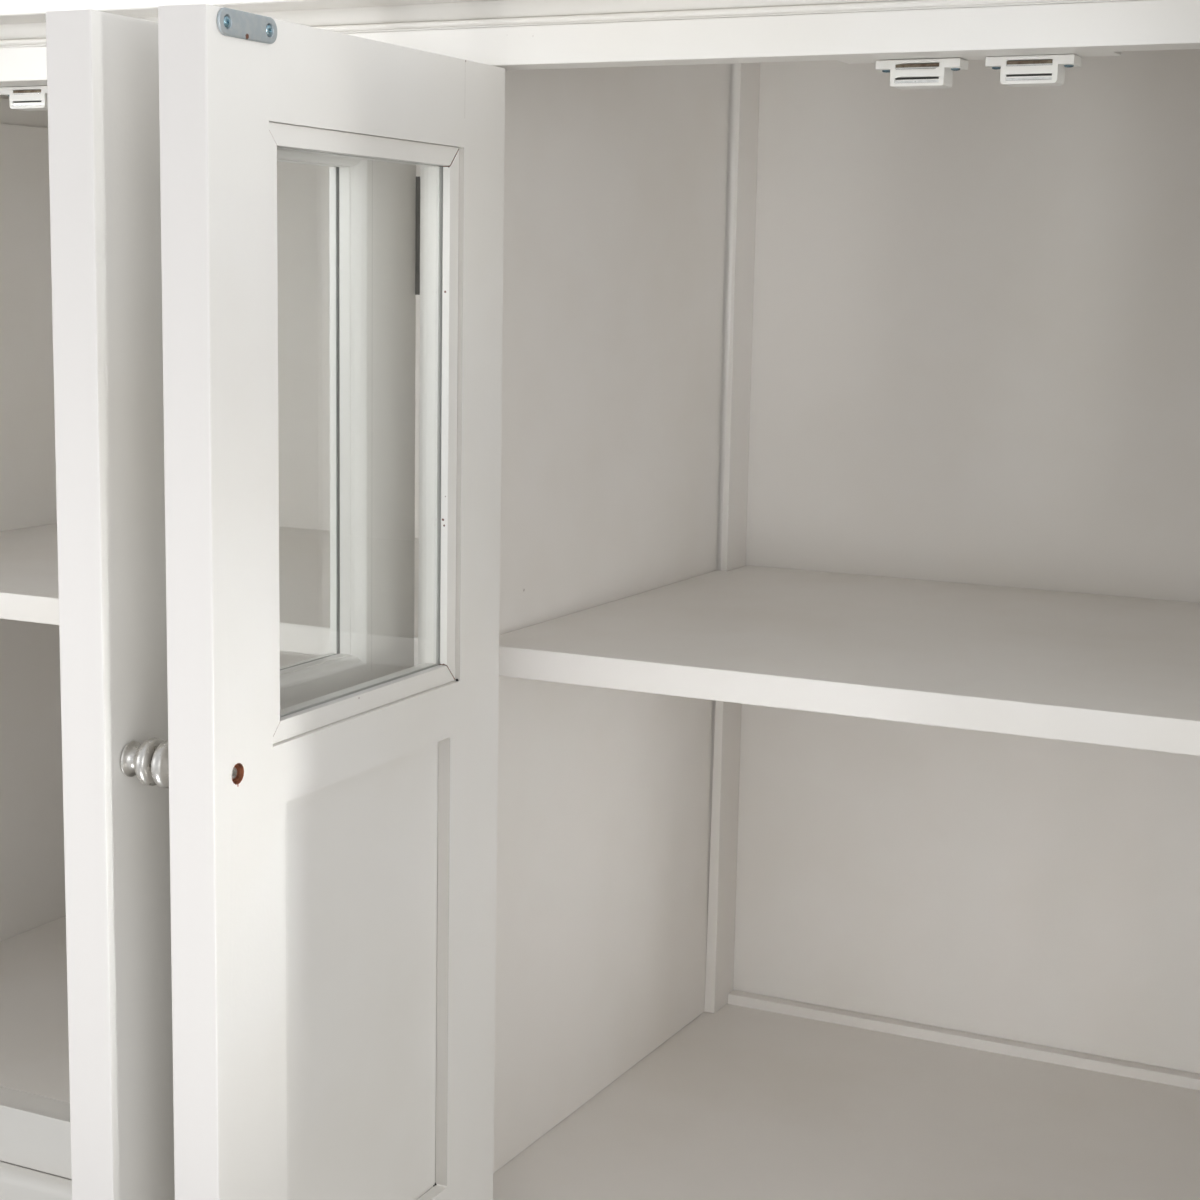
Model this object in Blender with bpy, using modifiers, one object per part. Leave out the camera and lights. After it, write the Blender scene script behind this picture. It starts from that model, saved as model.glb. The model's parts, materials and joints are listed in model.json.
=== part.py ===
"""White lacquered buffet with two pairs of half-glazed doors on one centre stile.

Metres, +Z up, front towards -Y, origin at the middle of the footprint.
The doors rest open, as in the photograph.
"""
import math

import bmesh
import bpy
from mathutils import Matrix, Vector

# Opening, doors and the play round them
OPENING_H = 0.6685
DOOR_W = 0.276
DOOR_T = 0.025
HINGE_GAP = 0.0015
MEETING_GAP = 0.002
TOP_GAP = 0.002
BOTTOM_GAP = 0.0025
REST_ANGLES = (90.0, 91.0, 88.26, 90.0)
FIT = 0.0003
ARRIS = 0.0008

# Carcass
STILE_W = 0.025
FRAME_T = 0.025
POST = 0.045
REAR_POST_D = 0.037
REAR_POST_CENTRE_W = 0.025
INSIDE_DEPTH = 0.432
BACK_RECESS = 0.017
PANEL_T = 0.008
PANEL_SETBACK = 0.0085
FLOOR_Z = 0.120
FLOOR_T = 0.018
SHELF_RISE = 0.343
SHELF_T = 0.018
SHELF_FRONT_F = 0.030
BOTTOM_RAIL_H = 0.040
SIDE_RAIL_H = 0.040
BEARER = 0.018
FLOOR_BATTEN_H = 0.008
FLOOR_BATTEN_D = 0.0107
CLEAT_H = 0.015
PANEL_TONGUE = 0.006

# Cornice and top, heights above the opening
RAIL_FLAT_H = 0.0204
CORNICE_TOP_H = 0.0333
EDGING_TOP_H = 0.046
TOP_T = 0.020
TOP_OVERHANG = 0.037
TOP_OVERHANG_REAR = 0.005
PLINTH_H = 0.080
PLINTH_T = 0.012
PLINTH_OVOLO = 0.008
FOOT_W = 0.120
FOOT_SIDE_W = 0.085
ARCH_H = 0.042
ARCH_R = 0.03
ARCH_FOOT_SHARE = 0.35
TOP_NOSE_SHARES = (
    (0.0, 0.0), (0.0, 0.55), (0.0012, 0.59), (0.0012, 0.67), (0.0022, 0.84), (0.0048, 0.96), (0.008, 1.0),
)
BEAD_LOW_H = 0.022
CORNICE_BEAD_R = 0.0018
QUIRK = 0.0016
OVOLO_REACH = 0.006
FILLET_H = 0.0016

# Door frame, distances from the hinge edge or below the top of the door
DOOR_STILE_W = 0.0575
GLASS_TOP = 0.055
GLASS_BOTTOM = 0.3186
PANEL_TOP = 0.3581
DOOR_BOTTOM_RAIL_W = 0.0474
RABBET_W = 0.0105
STICKING_W = 0.006
STICKING_D = 0.0075
STICKING_SHARES = (
    (1.0, 0.0), (0.82, 0.05), (0.70, 0.22), (0.50, 0.40), (0.26, 0.55), (0.12, 0.78), (0.08, 1.0), (0.0, 1.0),
)
GLASS_T = 0.003
GLASS_BELOW_FACE = 0.0075
BEAD_W = 0.010
BEAD_BELOW_FACE = 0.0025
PANEL_BELOW_FACE = 0.0075
DOOR_TONGUE = 0.008

# Hinges
PIN_AHEAD = 0.0028
BARREL_R = 0.0025
BORE_R = 0.0015
PIN_R = 0.0012
PIN_CAP_R = 0.002
PIN_CAP_H = 0.001
LEAF_T = 0.0012
LEAF_PROUD = 0.0003
LEAF_D = 0.015
HINGE_L = 0.065
HINGE_INSET = 0.057
KNUCKLES = 5
KNUCKLE_PLAY = 0.00015

# Knob and small hardware
KNOB_FROM_EDGE = 0.0183
KNOB_BELOW_TOP = 0.3358
KNOB_PROFILE = (
    (0.0078, 0.0000), (0.0084, 0.0012), (0.0060, 0.0028), (0.0046, 0.0052), (0.0060, 0.0078),
    (0.0100, 0.0100), (0.0112, 0.0124), (0.0104, 0.0150), (0.0062, 0.0166),
)
KNOB_TIP = 0.0172
SCREW_R = 0.002
SCREW_HOLE_R = 0.0024
COUNTERBORE_R = 0.005
COUNTERBORE_D = 0.006
HEAD_R = 0.004
HEAD_T = 0.0022
PLATE_L = 0.0448
PLATE_H = 0.0115
PLATE_T = 0.0012
PLATE_FROM_EDGE = 0.0073
PLATE_HOLE_SPACING = 0.032
PLATE_HOLE_R = 0.0031
PLATE_SCREW_R = 0.0014
PLATE_SCREW_L = 0.012

# Magnetic catches under the top rail
CATCH_FROM_CENTRE = 0.0288
CATCH_FRONT_F = 0.0276
CATCH_D = 0.015
EAR_W = 0.0447
EAR_H = 0.0049
CATCH_W = 0.0288
CATCH_H = 0.0139
CATCH_CORNER = 0.002
SLOT_W = 0.0232
SLOT_H = 0.0029
SLOT_TOPS = (0.0022, 0.0091)
SLOT_D = 0.013
POLE_H = 0.0016
POLE_LIFT = 0.0003
POLE_SETBACK = 0.0007
BLOCK_FROM_STILE = 0.207
BLOCK_L = 0.142
BLOCK_D = 0.0187

# Finishes: colour, roughness, metallic
LACQUER = ((0.80, 0.77, 0.72), 0.35, 0.0)
GLASS = ((0.75, 0.82, 0.80), 0.05, 0.0)
ZINC = ((0.50, 0.53, 0.56), 0.35, 1.0)
NICKEL = ((0.62, 0.60, 0.57), 0.25, 1.0)
PLASTIC = ((0.82, 0.79, 0.74), 0.45, 0.0)

# Sizes that follow from the ones above
DOOR_H = OPENING_H - TOP_GAP - BOTTOM_GAP
PANEL_BOTTOM = DOOR_H - DOOR_BOTTOM_RAIL_W
OPENING_W = 2 * (HINGE_GAP + DOOR_W) + MEETING_GAP
STILE_X = STILE_W / 2
POST_X = STILE_X + OPENING_W
BODY_X = POST_X + POST
RAIL_Z = FLOOR_Z + OPENING_H
FLAT_Z = RAIL_Z + RAIL_FLAT_H
CORNICE_Z = RAIL_Z + CORNICE_TOP_H
TOP_Z = RAIL_Z + EDGING_TOP_H
SHELF_Z = FLOOR_Z + SHELF_RISE
PARTITION_X = PANEL_T / 2
SIDE_PANEL_X = POST_X + PANEL_SETBACK
REAR_POST_F = INSIDE_DEPTH - REAR_POST_D
CARCASS_DEPTH = INSIDE_DEPTH + PANEL_T + BACK_RECESS
PIN_U = HINGE_GAP / 2
DOOR_INNER_Y = PIN_AHEAD + DOOR_T


def door_reach(angle):
    """Distance from the front plane to the furthest corner of a door open by the angle."""
    turn = math.radians(angle)
    corners = (PIN_AHEAD, DOOR_INNER_Y)
    return PIN_AHEAD + max((PIN_U + DOOR_W) * math.sin(turn) - y * math.cos(turn) for y in corners)


FRONT_REACH = max(door_reach(angle) for angle in REST_ANGLES)
FRONT_Y = (FRONT_REACH - CARCASS_DEPTH - TOP_OVERHANG_REAR) / 2


def start_scene():
    """Empty the file and make one collection for the parts and one for the cutters."""
    for thing in list(bpy.data.objects):
        bpy.data.objects.remove(thing, do_unlink=True)
    found = []
    for name in ("Buffet", "Cutters"):
        group = bpy.data.collections.new(name)
        bpy.context.scene.collection.children.link(group)
        found.append(group)
    return found


PARTS, CUTTERS = start_scene()


def empty(name, at=(0, 0, 0), turn=0.0, parent=None):
    """A named empty that marks a body or a joint axis."""
    thing = bpy.data.objects.new(name, None)
    thing.empty_display_size = 0.05
    thing.location = at
    thing.rotation_euler = (0, 0, turn)
    thing.parent = parent
    PARTS.objects.link(thing)
    return thing


def finish_mesh(name, bm):
    """Turn a bmesh into a mesh with its faces outward."""
    bmesh.ops.recalc_face_normals(bm, faces=bm.faces)
    mesh = bpy.data.meshes.new(name)
    bm.to_mesh(mesh)
    bm.free()
    return mesh


def add_material(thing, finish):
    """Give an object a Principled material of its own."""
    colour, roughness, metallic = finish
    material = bpy.data.materials.new(thing.name)
    material.use_nodes = True
    shader = material.node_tree.nodes["Principled BSDF"]
    shader.inputs["Base Color"].default_value = (*colour, 1)
    shader.inputs["Roughness"].default_value = roughness
    shader.inputs["Metallic"].default_value = metallic
    thing.data.materials.append(material)


def node(name, bm, finish, parent):
    """One delivered part."""
    thing = bpy.data.objects.new(name, finish_mesh(name, bm))
    add_material(thing, finish)
    thing.parent = parent
    PARTS.objects.link(thing)
    return thing


def as_helper(thing, parent):
    """Hide an object that only cuts or joins others."""
    thing.parent = parent
    thing.hide_render = True
    thing.display_type = "WIRE"
    CUTTERS.objects.link(thing)
    return thing


def combine(target, helper, operation):
    """Add a Boolean step to the target."""
    step = target.modifiers.new(helper.name, "BOOLEAN")
    step.operation = operation
    step.solver = "EXACT"
    step.object = helper


def carve(target, bm, operation="DIFFERENCE"):
    """Cut the target, or join to it, with a hidden helper that shares its parent."""
    name = f"{target.name}_cut_{len(target.modifiers) + 1}"
    helper = bpy.data.objects.new(name, finish_mesh(name, bm))
    combine(target, as_helper(helper, target.parent), operation)


def block(bm, x, y, z):
    """Add a box between the two values of each pair and return its faces."""
    lows, highs = [min(pair) for pair in (x, y, z)], [max(pair) for pair in (x, y, z)]
    size = [high - low for low, high in zip(lows, highs)]
    middle = [(high + low) / 2 for low, high in zip(lows, highs)]
    place = Matrix.Translation(middle) @ Matrix.Diagonal((*size, 1))
    made = bmesh.ops.create_cube(bm, size=1, matrix=place)["verts"]
    return list({face for vert in made for face in vert.link_faces})


def box(x, y, z):
    """A bmesh that holds one box."""
    bm = bmesh.new()
    block(bm, x, y, z)
    return bm


def soften(bm, faces, axis, test=None, width=ARRIS, segments=2):
    """Round the edges of these faces that run along one axis and pass the test."""
    picked = []
    for edge in {edge for face in faces for edge in face.edges}:
        line = edge.verts[1].co - edge.verts[0].co
        along = abs(line[axis]) > 0.99 * line.length
        if along and (test is None or test((edge.verts[0].co + edge.verts[1].co) / 2)):
            picked.append(edge)
    bmesh.ops.bevel(bm, geom=picked, offset=width, segments=segments, profile=0.5, affect="EDGES")


def grown(bm, rings):
    """Extrude a face through a list of rings that hold the same number of points."""
    face = bm.faces.new([bm.verts.new(point) for point in rings[0]])
    for i, ring in enumerate(rings[1:]):
        last = face
        made = bmesh.ops.extrude_face_region(bm, geom=[last])["geom"]
        face = next(item for item in made if isinstance(item, bmesh.types.BMFace))
        if i:
            bmesh.ops.delete(bm, geom=[last], context="FACES_ONLY")
        for loop, point in zip(face.loops, ring):
            loop.vert.co = point


def board(name, outline, z, finish, parent):
    """A flat board with this outline in plan."""
    bm = bmesh.new()
    grown(bm, [[(x, y, level) for x, y in outline] for level in z])
    return node(name, bm, finish, parent)


def turned(name, profile, at, parent, tilt=0.0, steps=20):
    """A turned object. The profile lists radii and heights from its top to its bottom."""
    bm = bmesh.new()
    points = [bm.verts.new((radius, 0, height)) for radius, height in profile]
    for first, second in zip(points, points[1:]):
        bm.edges.new((first, second))
    mesh = bpy.data.meshes.new(name)
    bm.to_mesh(mesh)
    bm.free()
    thing = bpy.data.objects.new(name, mesh)
    thing.location = at
    thing.rotation_euler = (tilt, 0, 0)
    thing.parent = parent
    spin = thing.modifiers.new("turned", "SCREW")
    spin.axis = "Z"
    spin.steps = steps
    spin.render_steps = steps
    spin.use_merge_vertices = True
    spin.merge_threshold = 0.00001
    return thing


def rod(bm, start, axis, radius, length, sides=12):
    """A cylinder that starts at a point and runs along the axis."""
    axis = Vector(axis).normalized()
    turn = Vector((0, 0, 1)).rotation_difference(axis).to_matrix().to_4x4()
    place = Matrix.Translation(Vector(start) + axis * length / 2) @ turn
    bmesh.ops.create_cone(
        bm, cap_ends=True, segments=sides, radius1=radius, radius2=radius,
        depth=length, matrix=place,
    )


def depth(f):
    """The Y value at a distance behind the front plane."""
    return FRONT_Y + f


def run(f0, f1):
    """A pair of Y values from two distances behind the front plane."""
    return depth(f0), depth(f1)


CARCASS = empty("carcass")
DOOR_BOTTOM_Z = FLOOR_Z + BOTTOM_GAP
PIN_Y = FRONT_Y - PIN_AHEAD
PAIR_X = STILE_X + OPENING_W / 2
SIDES = (("left", -1), ("right", 1))
HINGES = (("lower", HINGE_INSET), ("upper", DOOR_H - HINGE_INSET - HINGE_L))


def door_pins():
    """Name, pin X, side sign and rest angle of each door. The sign is 1 when it hangs on its left edge."""
    edges = ((-POST_X, 1), (-STILE_X, -1), (STILE_X, 1), (POST_X, -1))
    return [
        (f"door_{i + 1}", edge + side * PIN_U, side, REST_ANGLES[i])
        for i, (edge, side) in enumerate(edges)
    ]


def leaf_cuts(edge, side):
    """The boxes that let the two fixed hinge leaves of one door into the wood."""
    bm = bmesh.new()
    x = (edge + side * PIN_U, edge - side * (LEAF_T - LEAF_PROUD + FIT))
    for _, low in HINGES:
        z = DOOR_BOTTOM_Z + low
        block(bm, x, run(-FRAME_T, LEAF_D + FIT), (z - FIT, z + HINGE_L + FIT))
    return bm


def build_frame():
    """Face frame with its catch blocks, and the four corner posts."""
    bm = bmesh.new()
    x, y = (-POST_X + FIT, POST_X - FIT), run(0, FRAME_T)
    block(bm, x, y, (FLOOR_Z - BOTTOM_RAIL_H, FLAT_Z))
    frame = node("face_frame", bm, LACQUER, CARCASS)
    cut = bmesh.new()
    for _, side in SIDES:
        edges = (side * STILE_X, side * (POST_X + FIT))
        block(cut, edges, run(-FIT, FRAME_T + FIT), (FLOOR_Z, RAIL_Z))
    carve(frame, cut)
    blocks = bmesh.new()
    for _, side in SIDES:
        start = STILE_X + BLOCK_FROM_STILE
        x = (side * start, side * (start + BLOCK_L))
        block(blocks, x, run(FRAME_T / 2, FRAME_T + BLOCK_D), (RAIL_Z, FLAT_Z - FIT))
    carve(frame, blocks, "UNION")
    carve(frame, leaf_cuts(-STILE_X, -1))
    carve(frame, leaf_cuts(STILE_X, 1))

    for name, side in SIDES:
        bm = bmesh.new()
        faces = block(bm, (side * POST_X, side * BODY_X), run(0, POST), (0, FLAT_Z))
        soften(bm, faces, 2)
        post = node(f"front_post_{name}", bm, LACQUER, CARCASS)
        carve(post, leaf_cuts(side * POST_X, -side))
        groove = box(*side_tongue(side, FIT))
        carve(post, groove)

        bm = bmesh.new()
        faces = block(bm, (side * POST_X, side * BODY_X), run(REAR_POST_F, CARCASS_DEPTH), (0, FLAT_Z))
        soften(bm, faces, 2)
        post = node(f"rear_post_{name}", bm, LACQUER, CARCASS)
        x = (side * POST_X, side * (BODY_X - FRAME_T - FIT))
        y = run(REAR_POST_F, CARCASS_DEPTH)
        carve(post, box(x, y, (FLAT_Z - FRAME_T, TOP_Z - FIT)), "UNION")
        carve(post, box(*side_tongue(side, FIT)))


def side_tongue(side, grow=0.0):
    """The box of a side panel with its tongues, or of its grooves when grown."""
    return (
        (side * (SIDE_PANEL_X - grow), side * (SIDE_PANEL_X + PANEL_T + grow)),
        run(POST - PANEL_TONGUE - grow, REAR_POST_F + PANEL_TONGUE + grow),
        (FLOOR_Z - FLOOR_T - SIDE_RAIL_H - grow, FLAT_Z - SIDE_RAIL_H / 2 + grow),
    )


def build_sides():
    """Each side is a framed panel between two corner posts."""
    f2 = REAR_POST_F - FIT
    cleat_top = SHELF_Z - SHELF_T - FIT
    for name, side in SIDES:
        low = FLOOR_Z - FLOOR_T - SIDE_RAIL_H
        frame = node(f"side_frame_{name}", box(*side_tongue(side)), LACQUER, CARCASS)
        rails = bmesh.new()
        x = (side * (SIDE_PANEL_X + PANEL_T / 2), side * BODY_X)
        for start in (low, FLAT_Z - SIDE_RAIL_H):
            block(rails, x, run(POST + FIT, f2), (start, start + SIDE_RAIL_H))
        x = (side * (POST_X + FIT), side * (SIDE_PANEL_X + PANEL_T / 2))
        block(rails, x, run(POST + FIT, f2), (cleat_top - CLEAT_H, cleat_top))
        carve(frame, rails, "UNION")


def cornice_profile():
    """Quirk, bead and ovolo between the flat of the rail and the edging, as out and height."""
    low, high = FLAT_Z + FIT, CORNICE_Z
    bead_low, bead_r = RAIL_Z + BEAD_LOW_H, CORNICE_BEAD_R
    points = [(-FRAME_T, low), (-QUIRK, low), (-QUIRK, bead_low)]
    for i in range(1, 6):
        angle = math.radians(-90 + 180 * i / 6)
        points.append((bead_r * math.cos(angle) - QUIRK, bead_low + bead_r * (1 + math.sin(angle))))
    points.append((-QUIRK, bead_low + 2 * bead_r))
    start = points[-1]
    rise = high - FILLET_H - start[1]
    for i in range(1, 6):
        angle = math.radians(90 * i / 5)
        out = start[0] + OVOLO_REACH * math.sin(angle)
        points.append((out, start[1] + rise * (1 - math.cos(angle))))
    points += [(start[0] + OVOLO_REACH, high), (-FRAME_T, high)]
    return points


def plinth_profile():
    """A plain board with a small ovolo along its top, as out and height."""
    points = [(FIT, 0), (PLINTH_T, 0), (PLINTH_T, PLINTH_H - PLINTH_OVOLO)]
    for i in range(1, 5):
        angle = math.radians(90 * i / 4)
        out = PLINTH_T - PLINTH_OVOLO * (1 - math.cos(angle))
        points.append((out, PLINTH_H - PLINTH_OVOLO * (1 - math.sin(angle))))
    points.append((FIT, PLINTH_H))
    return points


def round_three_sides(bm, profile):
    """Sweep a profile of out and height values along both sides and the front, with mitred corners."""
    rear = depth(CARCASS_DEPTH)
    stops = (
        (-BODY_X, rear, -1, 0), (-BODY_X, FRONT_Y, -1, -1),
        (BODY_X, FRONT_Y, 1, -1), (BODY_X, rear, 1, 0),
    )
    grown(bm, [[(x + a * w, y + b * w, h) for w, h in profile] for x, y, a, b in stops])


def arch(half):
    """The edge of the cut between two bracket feet, as distance along and height."""
    points = [(-half, -ARCH_H / 2), (-half, ARCH_H * ARCH_FOOT_SHARE)]
    for i in range(1, 5):
        angle = math.radians(90 * i / 4)
        climb = ARCH_FOOT_SHARE + (1 - ARCH_FOOT_SHARE) * math.sin(angle)
        points.append((-half + ARCH_R * (1 - math.cos(angle)), ARCH_H * climb))
    return points + [(-a, b) for a, b in reversed(points)]


def build_outline():
    """Cornice, edging, top and plinth."""
    bm = bmesh.new()
    round_three_sides(bm, cornice_profile())
    node("cornice_moulding", bm, LACQUER, CARCASS)

    low = CORNICE_Z + FIT
    bm = bmesh.new()
    round_three_sides(bm, [
        (-FRAME_T, low), (TOP_OVERHANG - ARRIS, low), (TOP_OVERHANG, low + ARRIS),
        (TOP_OVERHANG, TOP_Z), (-FRAME_T, TOP_Z),
    ])
    node("top_edging", bm, LACQUER, CARCASS)

    bm = bmesh.new()
    rings = []
    for inset, share in TOP_NOSE_SHARES:
        x = BODY_X + TOP_OVERHANG - inset
        y0 = depth(inset - TOP_OVERHANG)
        y1 = depth(CARCASS_DEPTH + TOP_OVERHANG_REAR - inset)
        z = TOP_Z + FIT + TOP_T * share
        rings.append([(-x, y0, z), (x, y0, z), (x, y1, z), (-x, y1, z)])
    grown(bm, rings)
    node("table_top", bm, LACQUER, CARCASS)

    bm = bmesh.new()
    round_three_sides(bm, plinth_profile())
    plinth = node("plinth", bm, LACQUER, CARCASS)
    cut = bmesh.new()
    reach = 2 * PLINTH_T
    front = arch(BODY_X - FOOT_W)
    grown(cut, [[(a, FRONT_Y + shift, b) for a, b in front] for shift in (-reach, reach)])
    middle = depth(CARCASS_DEPTH / 2)
    flank = arch(CARCASS_DEPTH / 2 - FOOT_SIDE_W)
    for _, side in SIDES:
        rings = [[(side * BODY_X + shift, middle + a, b) for a, b in flank] for shift in (-reach, reach)]
        grown(cut, rings)
    carve(plinth, cut)


def build_inside():
    """Partition, back, floor and shelves."""
    f0, f1 = FRAME_T + FIT, POST + FIT
    f2, f3 = REAR_POST_F - FIT, INSIDE_DEPTH - FIT
    wide, slim = SIDE_PANEL_X - FIT, POST_X - FIT
    inner, notch = PARTITION_X + FIT, REAR_POST_CENTRE_W / 2 + FIT
    cleat_top = SHELF_Z - SHELF_T - FIT

    z = (FLOOR_Z + FIT, TOP_Z - FIT)
    bm = box((-PARTITION_X, PARTITION_X), run(f0, f3), z)
    partition = node("partition", bm, LACQUER, CARCASS)
    more = bmesh.new()
    half = REAR_POST_CENTRE_W / 2
    faces = block(more, (-half, half), run(REAR_POST_F, f3), z)
    soften(more, faces, 2, lambda p: p.y < depth(REAR_POST_F + FIT))
    block(more, (-STILE_X, STILE_X), run(f0, f2), (cleat_top - CLEAT_H, cleat_top))
    carve(partition, more, "UNION")

    z = (FLOOR_Z - FLOOR_T - SIDE_RAIL_H, TOP_Z - FIT)
    node("back_panel", box((-slim, slim), run(INSIDE_DEPTH, INSIDE_DEPTH + PANEL_T), z), LACQUER, CARCASS)

    half = [(slim, f0), (slim, f1), (wide, f1), (wide, f2), (slim, f2), (slim, f3)]
    outline = [(x, depth(f)) for x, f in half + [(-x, f) for x, f in reversed(half)]]
    floor = board("floor_board", outline, (FLOOR_Z - FLOOR_T, FLOOR_Z), LACQUER, CARCASS)
    more = bmesh.new()
    low = FLOOR_Z - FLOOR_T - BEARER
    near, far, end = f0 + FIT, f3 - FIT, slim - FIT
    block(more, (-end, end), run(near, near + BEARER), (low, FLOOR_Z - FLOOR_T / 2))
    block(more, (-end, end), run(far - BEARER, far), (low, FLOOR_Z - FLOOR_T / 2))
    for _, side in SIDES:
        z = (FLOOR_Z - FLOOR_T / 3, FLOOR_Z + FLOOR_BATTEN_H)
        faces = block(more, (side * notch, side * end), run(far - FLOOR_BATTEN_D, far), z)
        soften(more, faces, 0, lambda p: p.y < depth(far - FLOOR_BATTEN_D / 2) and p.z > FLOOR_Z)
    carve(floor, more, "UNION")

    for name, side in SIDES:
        half = [
            (inner, SHELF_FRONT_F), (slim, SHELF_FRONT_F), (slim, f1), (wide, f1),
            (wide, f2), (slim, f2), (slim, f3), (notch, f3), (notch, f2), (inner, f2),
        ]
        outline = [(side * x, depth(f)) for x, f in half]
        board(f"shelf_{name}", outline, (SHELF_Z - SHELF_T, SHELF_Z), LACQUER, CARCASS)


def build_catches():
    """Magnetic catches with two slots each, under the blocks of the face frame."""
    spots = [side * (PAIR_X + way * CATCH_FROM_CENTRE) for side, way in ((-1, 1), (-1, -1), (1, -1), (1, 1))]
    top, lip, low = RAIL_Z - FIT, RAIL_Z - EAR_H, RAIL_Z - CATCH_H
    side, half = EAR_W / 2, CATCH_W / 2
    for i, x in enumerate(spots):
        shape = [(-side, top), (-side, lip), (-half, lip), (-half, low)]
        shape += [(-a, b) for a, b in reversed(shape)]
        bm = bmesh.new()
        ends = (CATCH_FRONT_F, CATCH_FRONT_F + CATCH_D)
        grown(bm, [[(x + a, depth(f), b) for a, b in shape] for f in ends])
        soften(bm, list(bm.faces), 1, lambda p: p.z < low + FIT, CATCH_CORNER)
        catch = node(f"catch_{i + 1}", bm, PLASTIC, CARCASS)
        cut = bmesh.new()
        for drop in SLOT_TOPS:
            y = run(CATCH_FRONT_F - FIT, CATCH_FRONT_F + SLOT_D)
            block(cut, (x - SLOT_W / 2, x + SLOT_W / 2), y, (RAIL_Z - drop - SLOT_H, RAIL_Z - drop))
        carve(catch, cut)
        poles = bmesh.new()
        for drop in SLOT_TOPS:
            z = RAIL_Z - drop - SLOT_H + POLE_LIFT
            y = run(CATCH_FRONT_F + POLE_SETBACK, CATCH_FRONT_F + SLOT_D + FIT)
            block(poles, (x - SLOT_W / 2 - FIT, x + SLOT_W / 2 + FIT), y, (z, z + POLE_H))
        carve(catch, poles, "UNION")


def knuckle_gaps(at, low, keep):
    """Boxes that clear the other leaf's knuckles. Keep is 0 for the outer three, 1 for the inner two."""
    bm = bmesh.new()
    pitch, half = HINGE_L / KNUCKLES, BARREL_R + FIT
    x, y = (at[0] - half, at[0] + half), (at[1] - half, at[1] + half)
    for i in range(KNUCKLES):
        if i % 2 != keep:
            block(bm, x, y, (low + i * pitch - KNUCKLE_PLAY, low + (i + 1) * pitch + KNUCKLE_PLAY))
    return bm


def pin_profile():
    """The fixed knuckles and the pin through the others, from the top down."""
    pitch, end = HINGE_L / KNUCKLES, HINGE_L + KNUCKLE_PLAY
    points = [(0, end + PIN_CAP_H), (PIN_CAP_R * 0.7, end + PIN_CAP_H), (PIN_CAP_R, end)]
    for i in reversed(range(1, KNUCKLES, 2)):
        top, low = (i + 1) * pitch - KNUCKLE_PLAY, i * pitch + KNUCKLE_PLAY
        points += [(PIN_R, end if len(points) == 3 else points[-1][1]), (PIN_R, top), (BARREL_R, top), (BARREL_R, low)]
    points += [(PIN_R, points[-1][1]), (PIN_R, -KNUCKLE_PLAY), (PIN_CAP_R, -KNUCKLE_PLAY)]
    return points + [(PIN_CAP_R * 0.7, -KNUCKLE_PLAY - PIN_CAP_H), (0, -KNUCKLE_PLAY - PIN_CAP_H)]


def build_fixed_leaves():
    """The hinge leaves let into the frame, each with its two knuckles and the pin."""
    for name, pin_x, side, _ in door_pins():
        edge = pin_x - side * PIN_U
        x = (edge + side * LEAF_PROUD, edge - side * (LEAF_T - LEAF_PROUD))
        for spot, rise in HINGES:
            low = DOOR_BOTTOM_Z + rise
            bm = box(x, (PIN_Y, depth(LEAF_D)), (low, low + HINGE_L))
            leaf = node(f"{name}_fixed_leaf_{spot}", bm, ZINC, CARCASS)
            carve(leaf, knuckle_gaps((pin_x, PIN_Y), low, 1))
            pin = turned(f"{leaf.name}_pin", pin_profile(), (pin_x, PIN_Y, low), CARCASS, steps=12)
            combine(leaf, as_helper(pin, CARCASS), "UNION")


class DoorFrame:
    """Places door measurements, taken from its hinge edge, outer face and top."""

    def __init__(self, side):
        self.side = side

    def u(self, *values):
        """X values at distances from the hinge edge."""
        return tuple(self.side * (PIN_U + value) for value in values)

    def n(self, *values):
        """Y values at distances behind the outer face."""
        return tuple(PIN_AHEAD + value for value in values)

    def t(self, *values):
        """Z values at distances below the top."""
        return tuple(DOOR_H - value for value in values)

    def ring(self, grow, n, top, bottom):
        """The four corners of an opening, grown by a margin, at one depth."""
        u0, u1 = self.u(DOOR_STILE_W - grow, DOOR_W - DOOR_STILE_W + grow)
        z1, z0 = self.t(top - grow, bottom + grow)
        y = self.n(n)[0]
        return [(u0, y, z0), (u1, y, z0), (u1, y, z1), (u0, y, z1)]


def sticking():
    """The ogee round each opening on the outer face, as growth and depth."""
    w, d = STICKING_W, STICKING_D
    return [(w, -ARRIS)] + [(w * a, d * b) for a, b in STICKING_SHARES]


def opening_cuts(place):
    """The glass opening with its rabbet and the panel opening with its groove."""
    past = DOOR_T + ARRIS
    glass_n = DOOR_T - GLASS_BELOW_FACE - GLASS_T - FIT
    glass = [(0.0, glass_n), (RABBET_W, glass_n), (RABBET_W, past)]
    near, far = DOOR_T - PANEL_BELOW_FACE - PANEL_T - FIT, DOOR_T - PANEL_BELOW_FACE + FIT
    groove = DOOR_TONGUE + FIT
    panel = [(0.0, near), (groove, near), (groove, far), (0.0, far), (0.0, past)]
    bm = bmesh.new()
    for steps, top, bottom in ((glass, GLASS_TOP, GLASS_BOTTOM), (panel, PANEL_TOP, PANEL_BOTTOM)):
        grown(bm, [place.ring(grow, n, top, bottom) for grow, n in sticking() + steps])
    return bm


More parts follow.
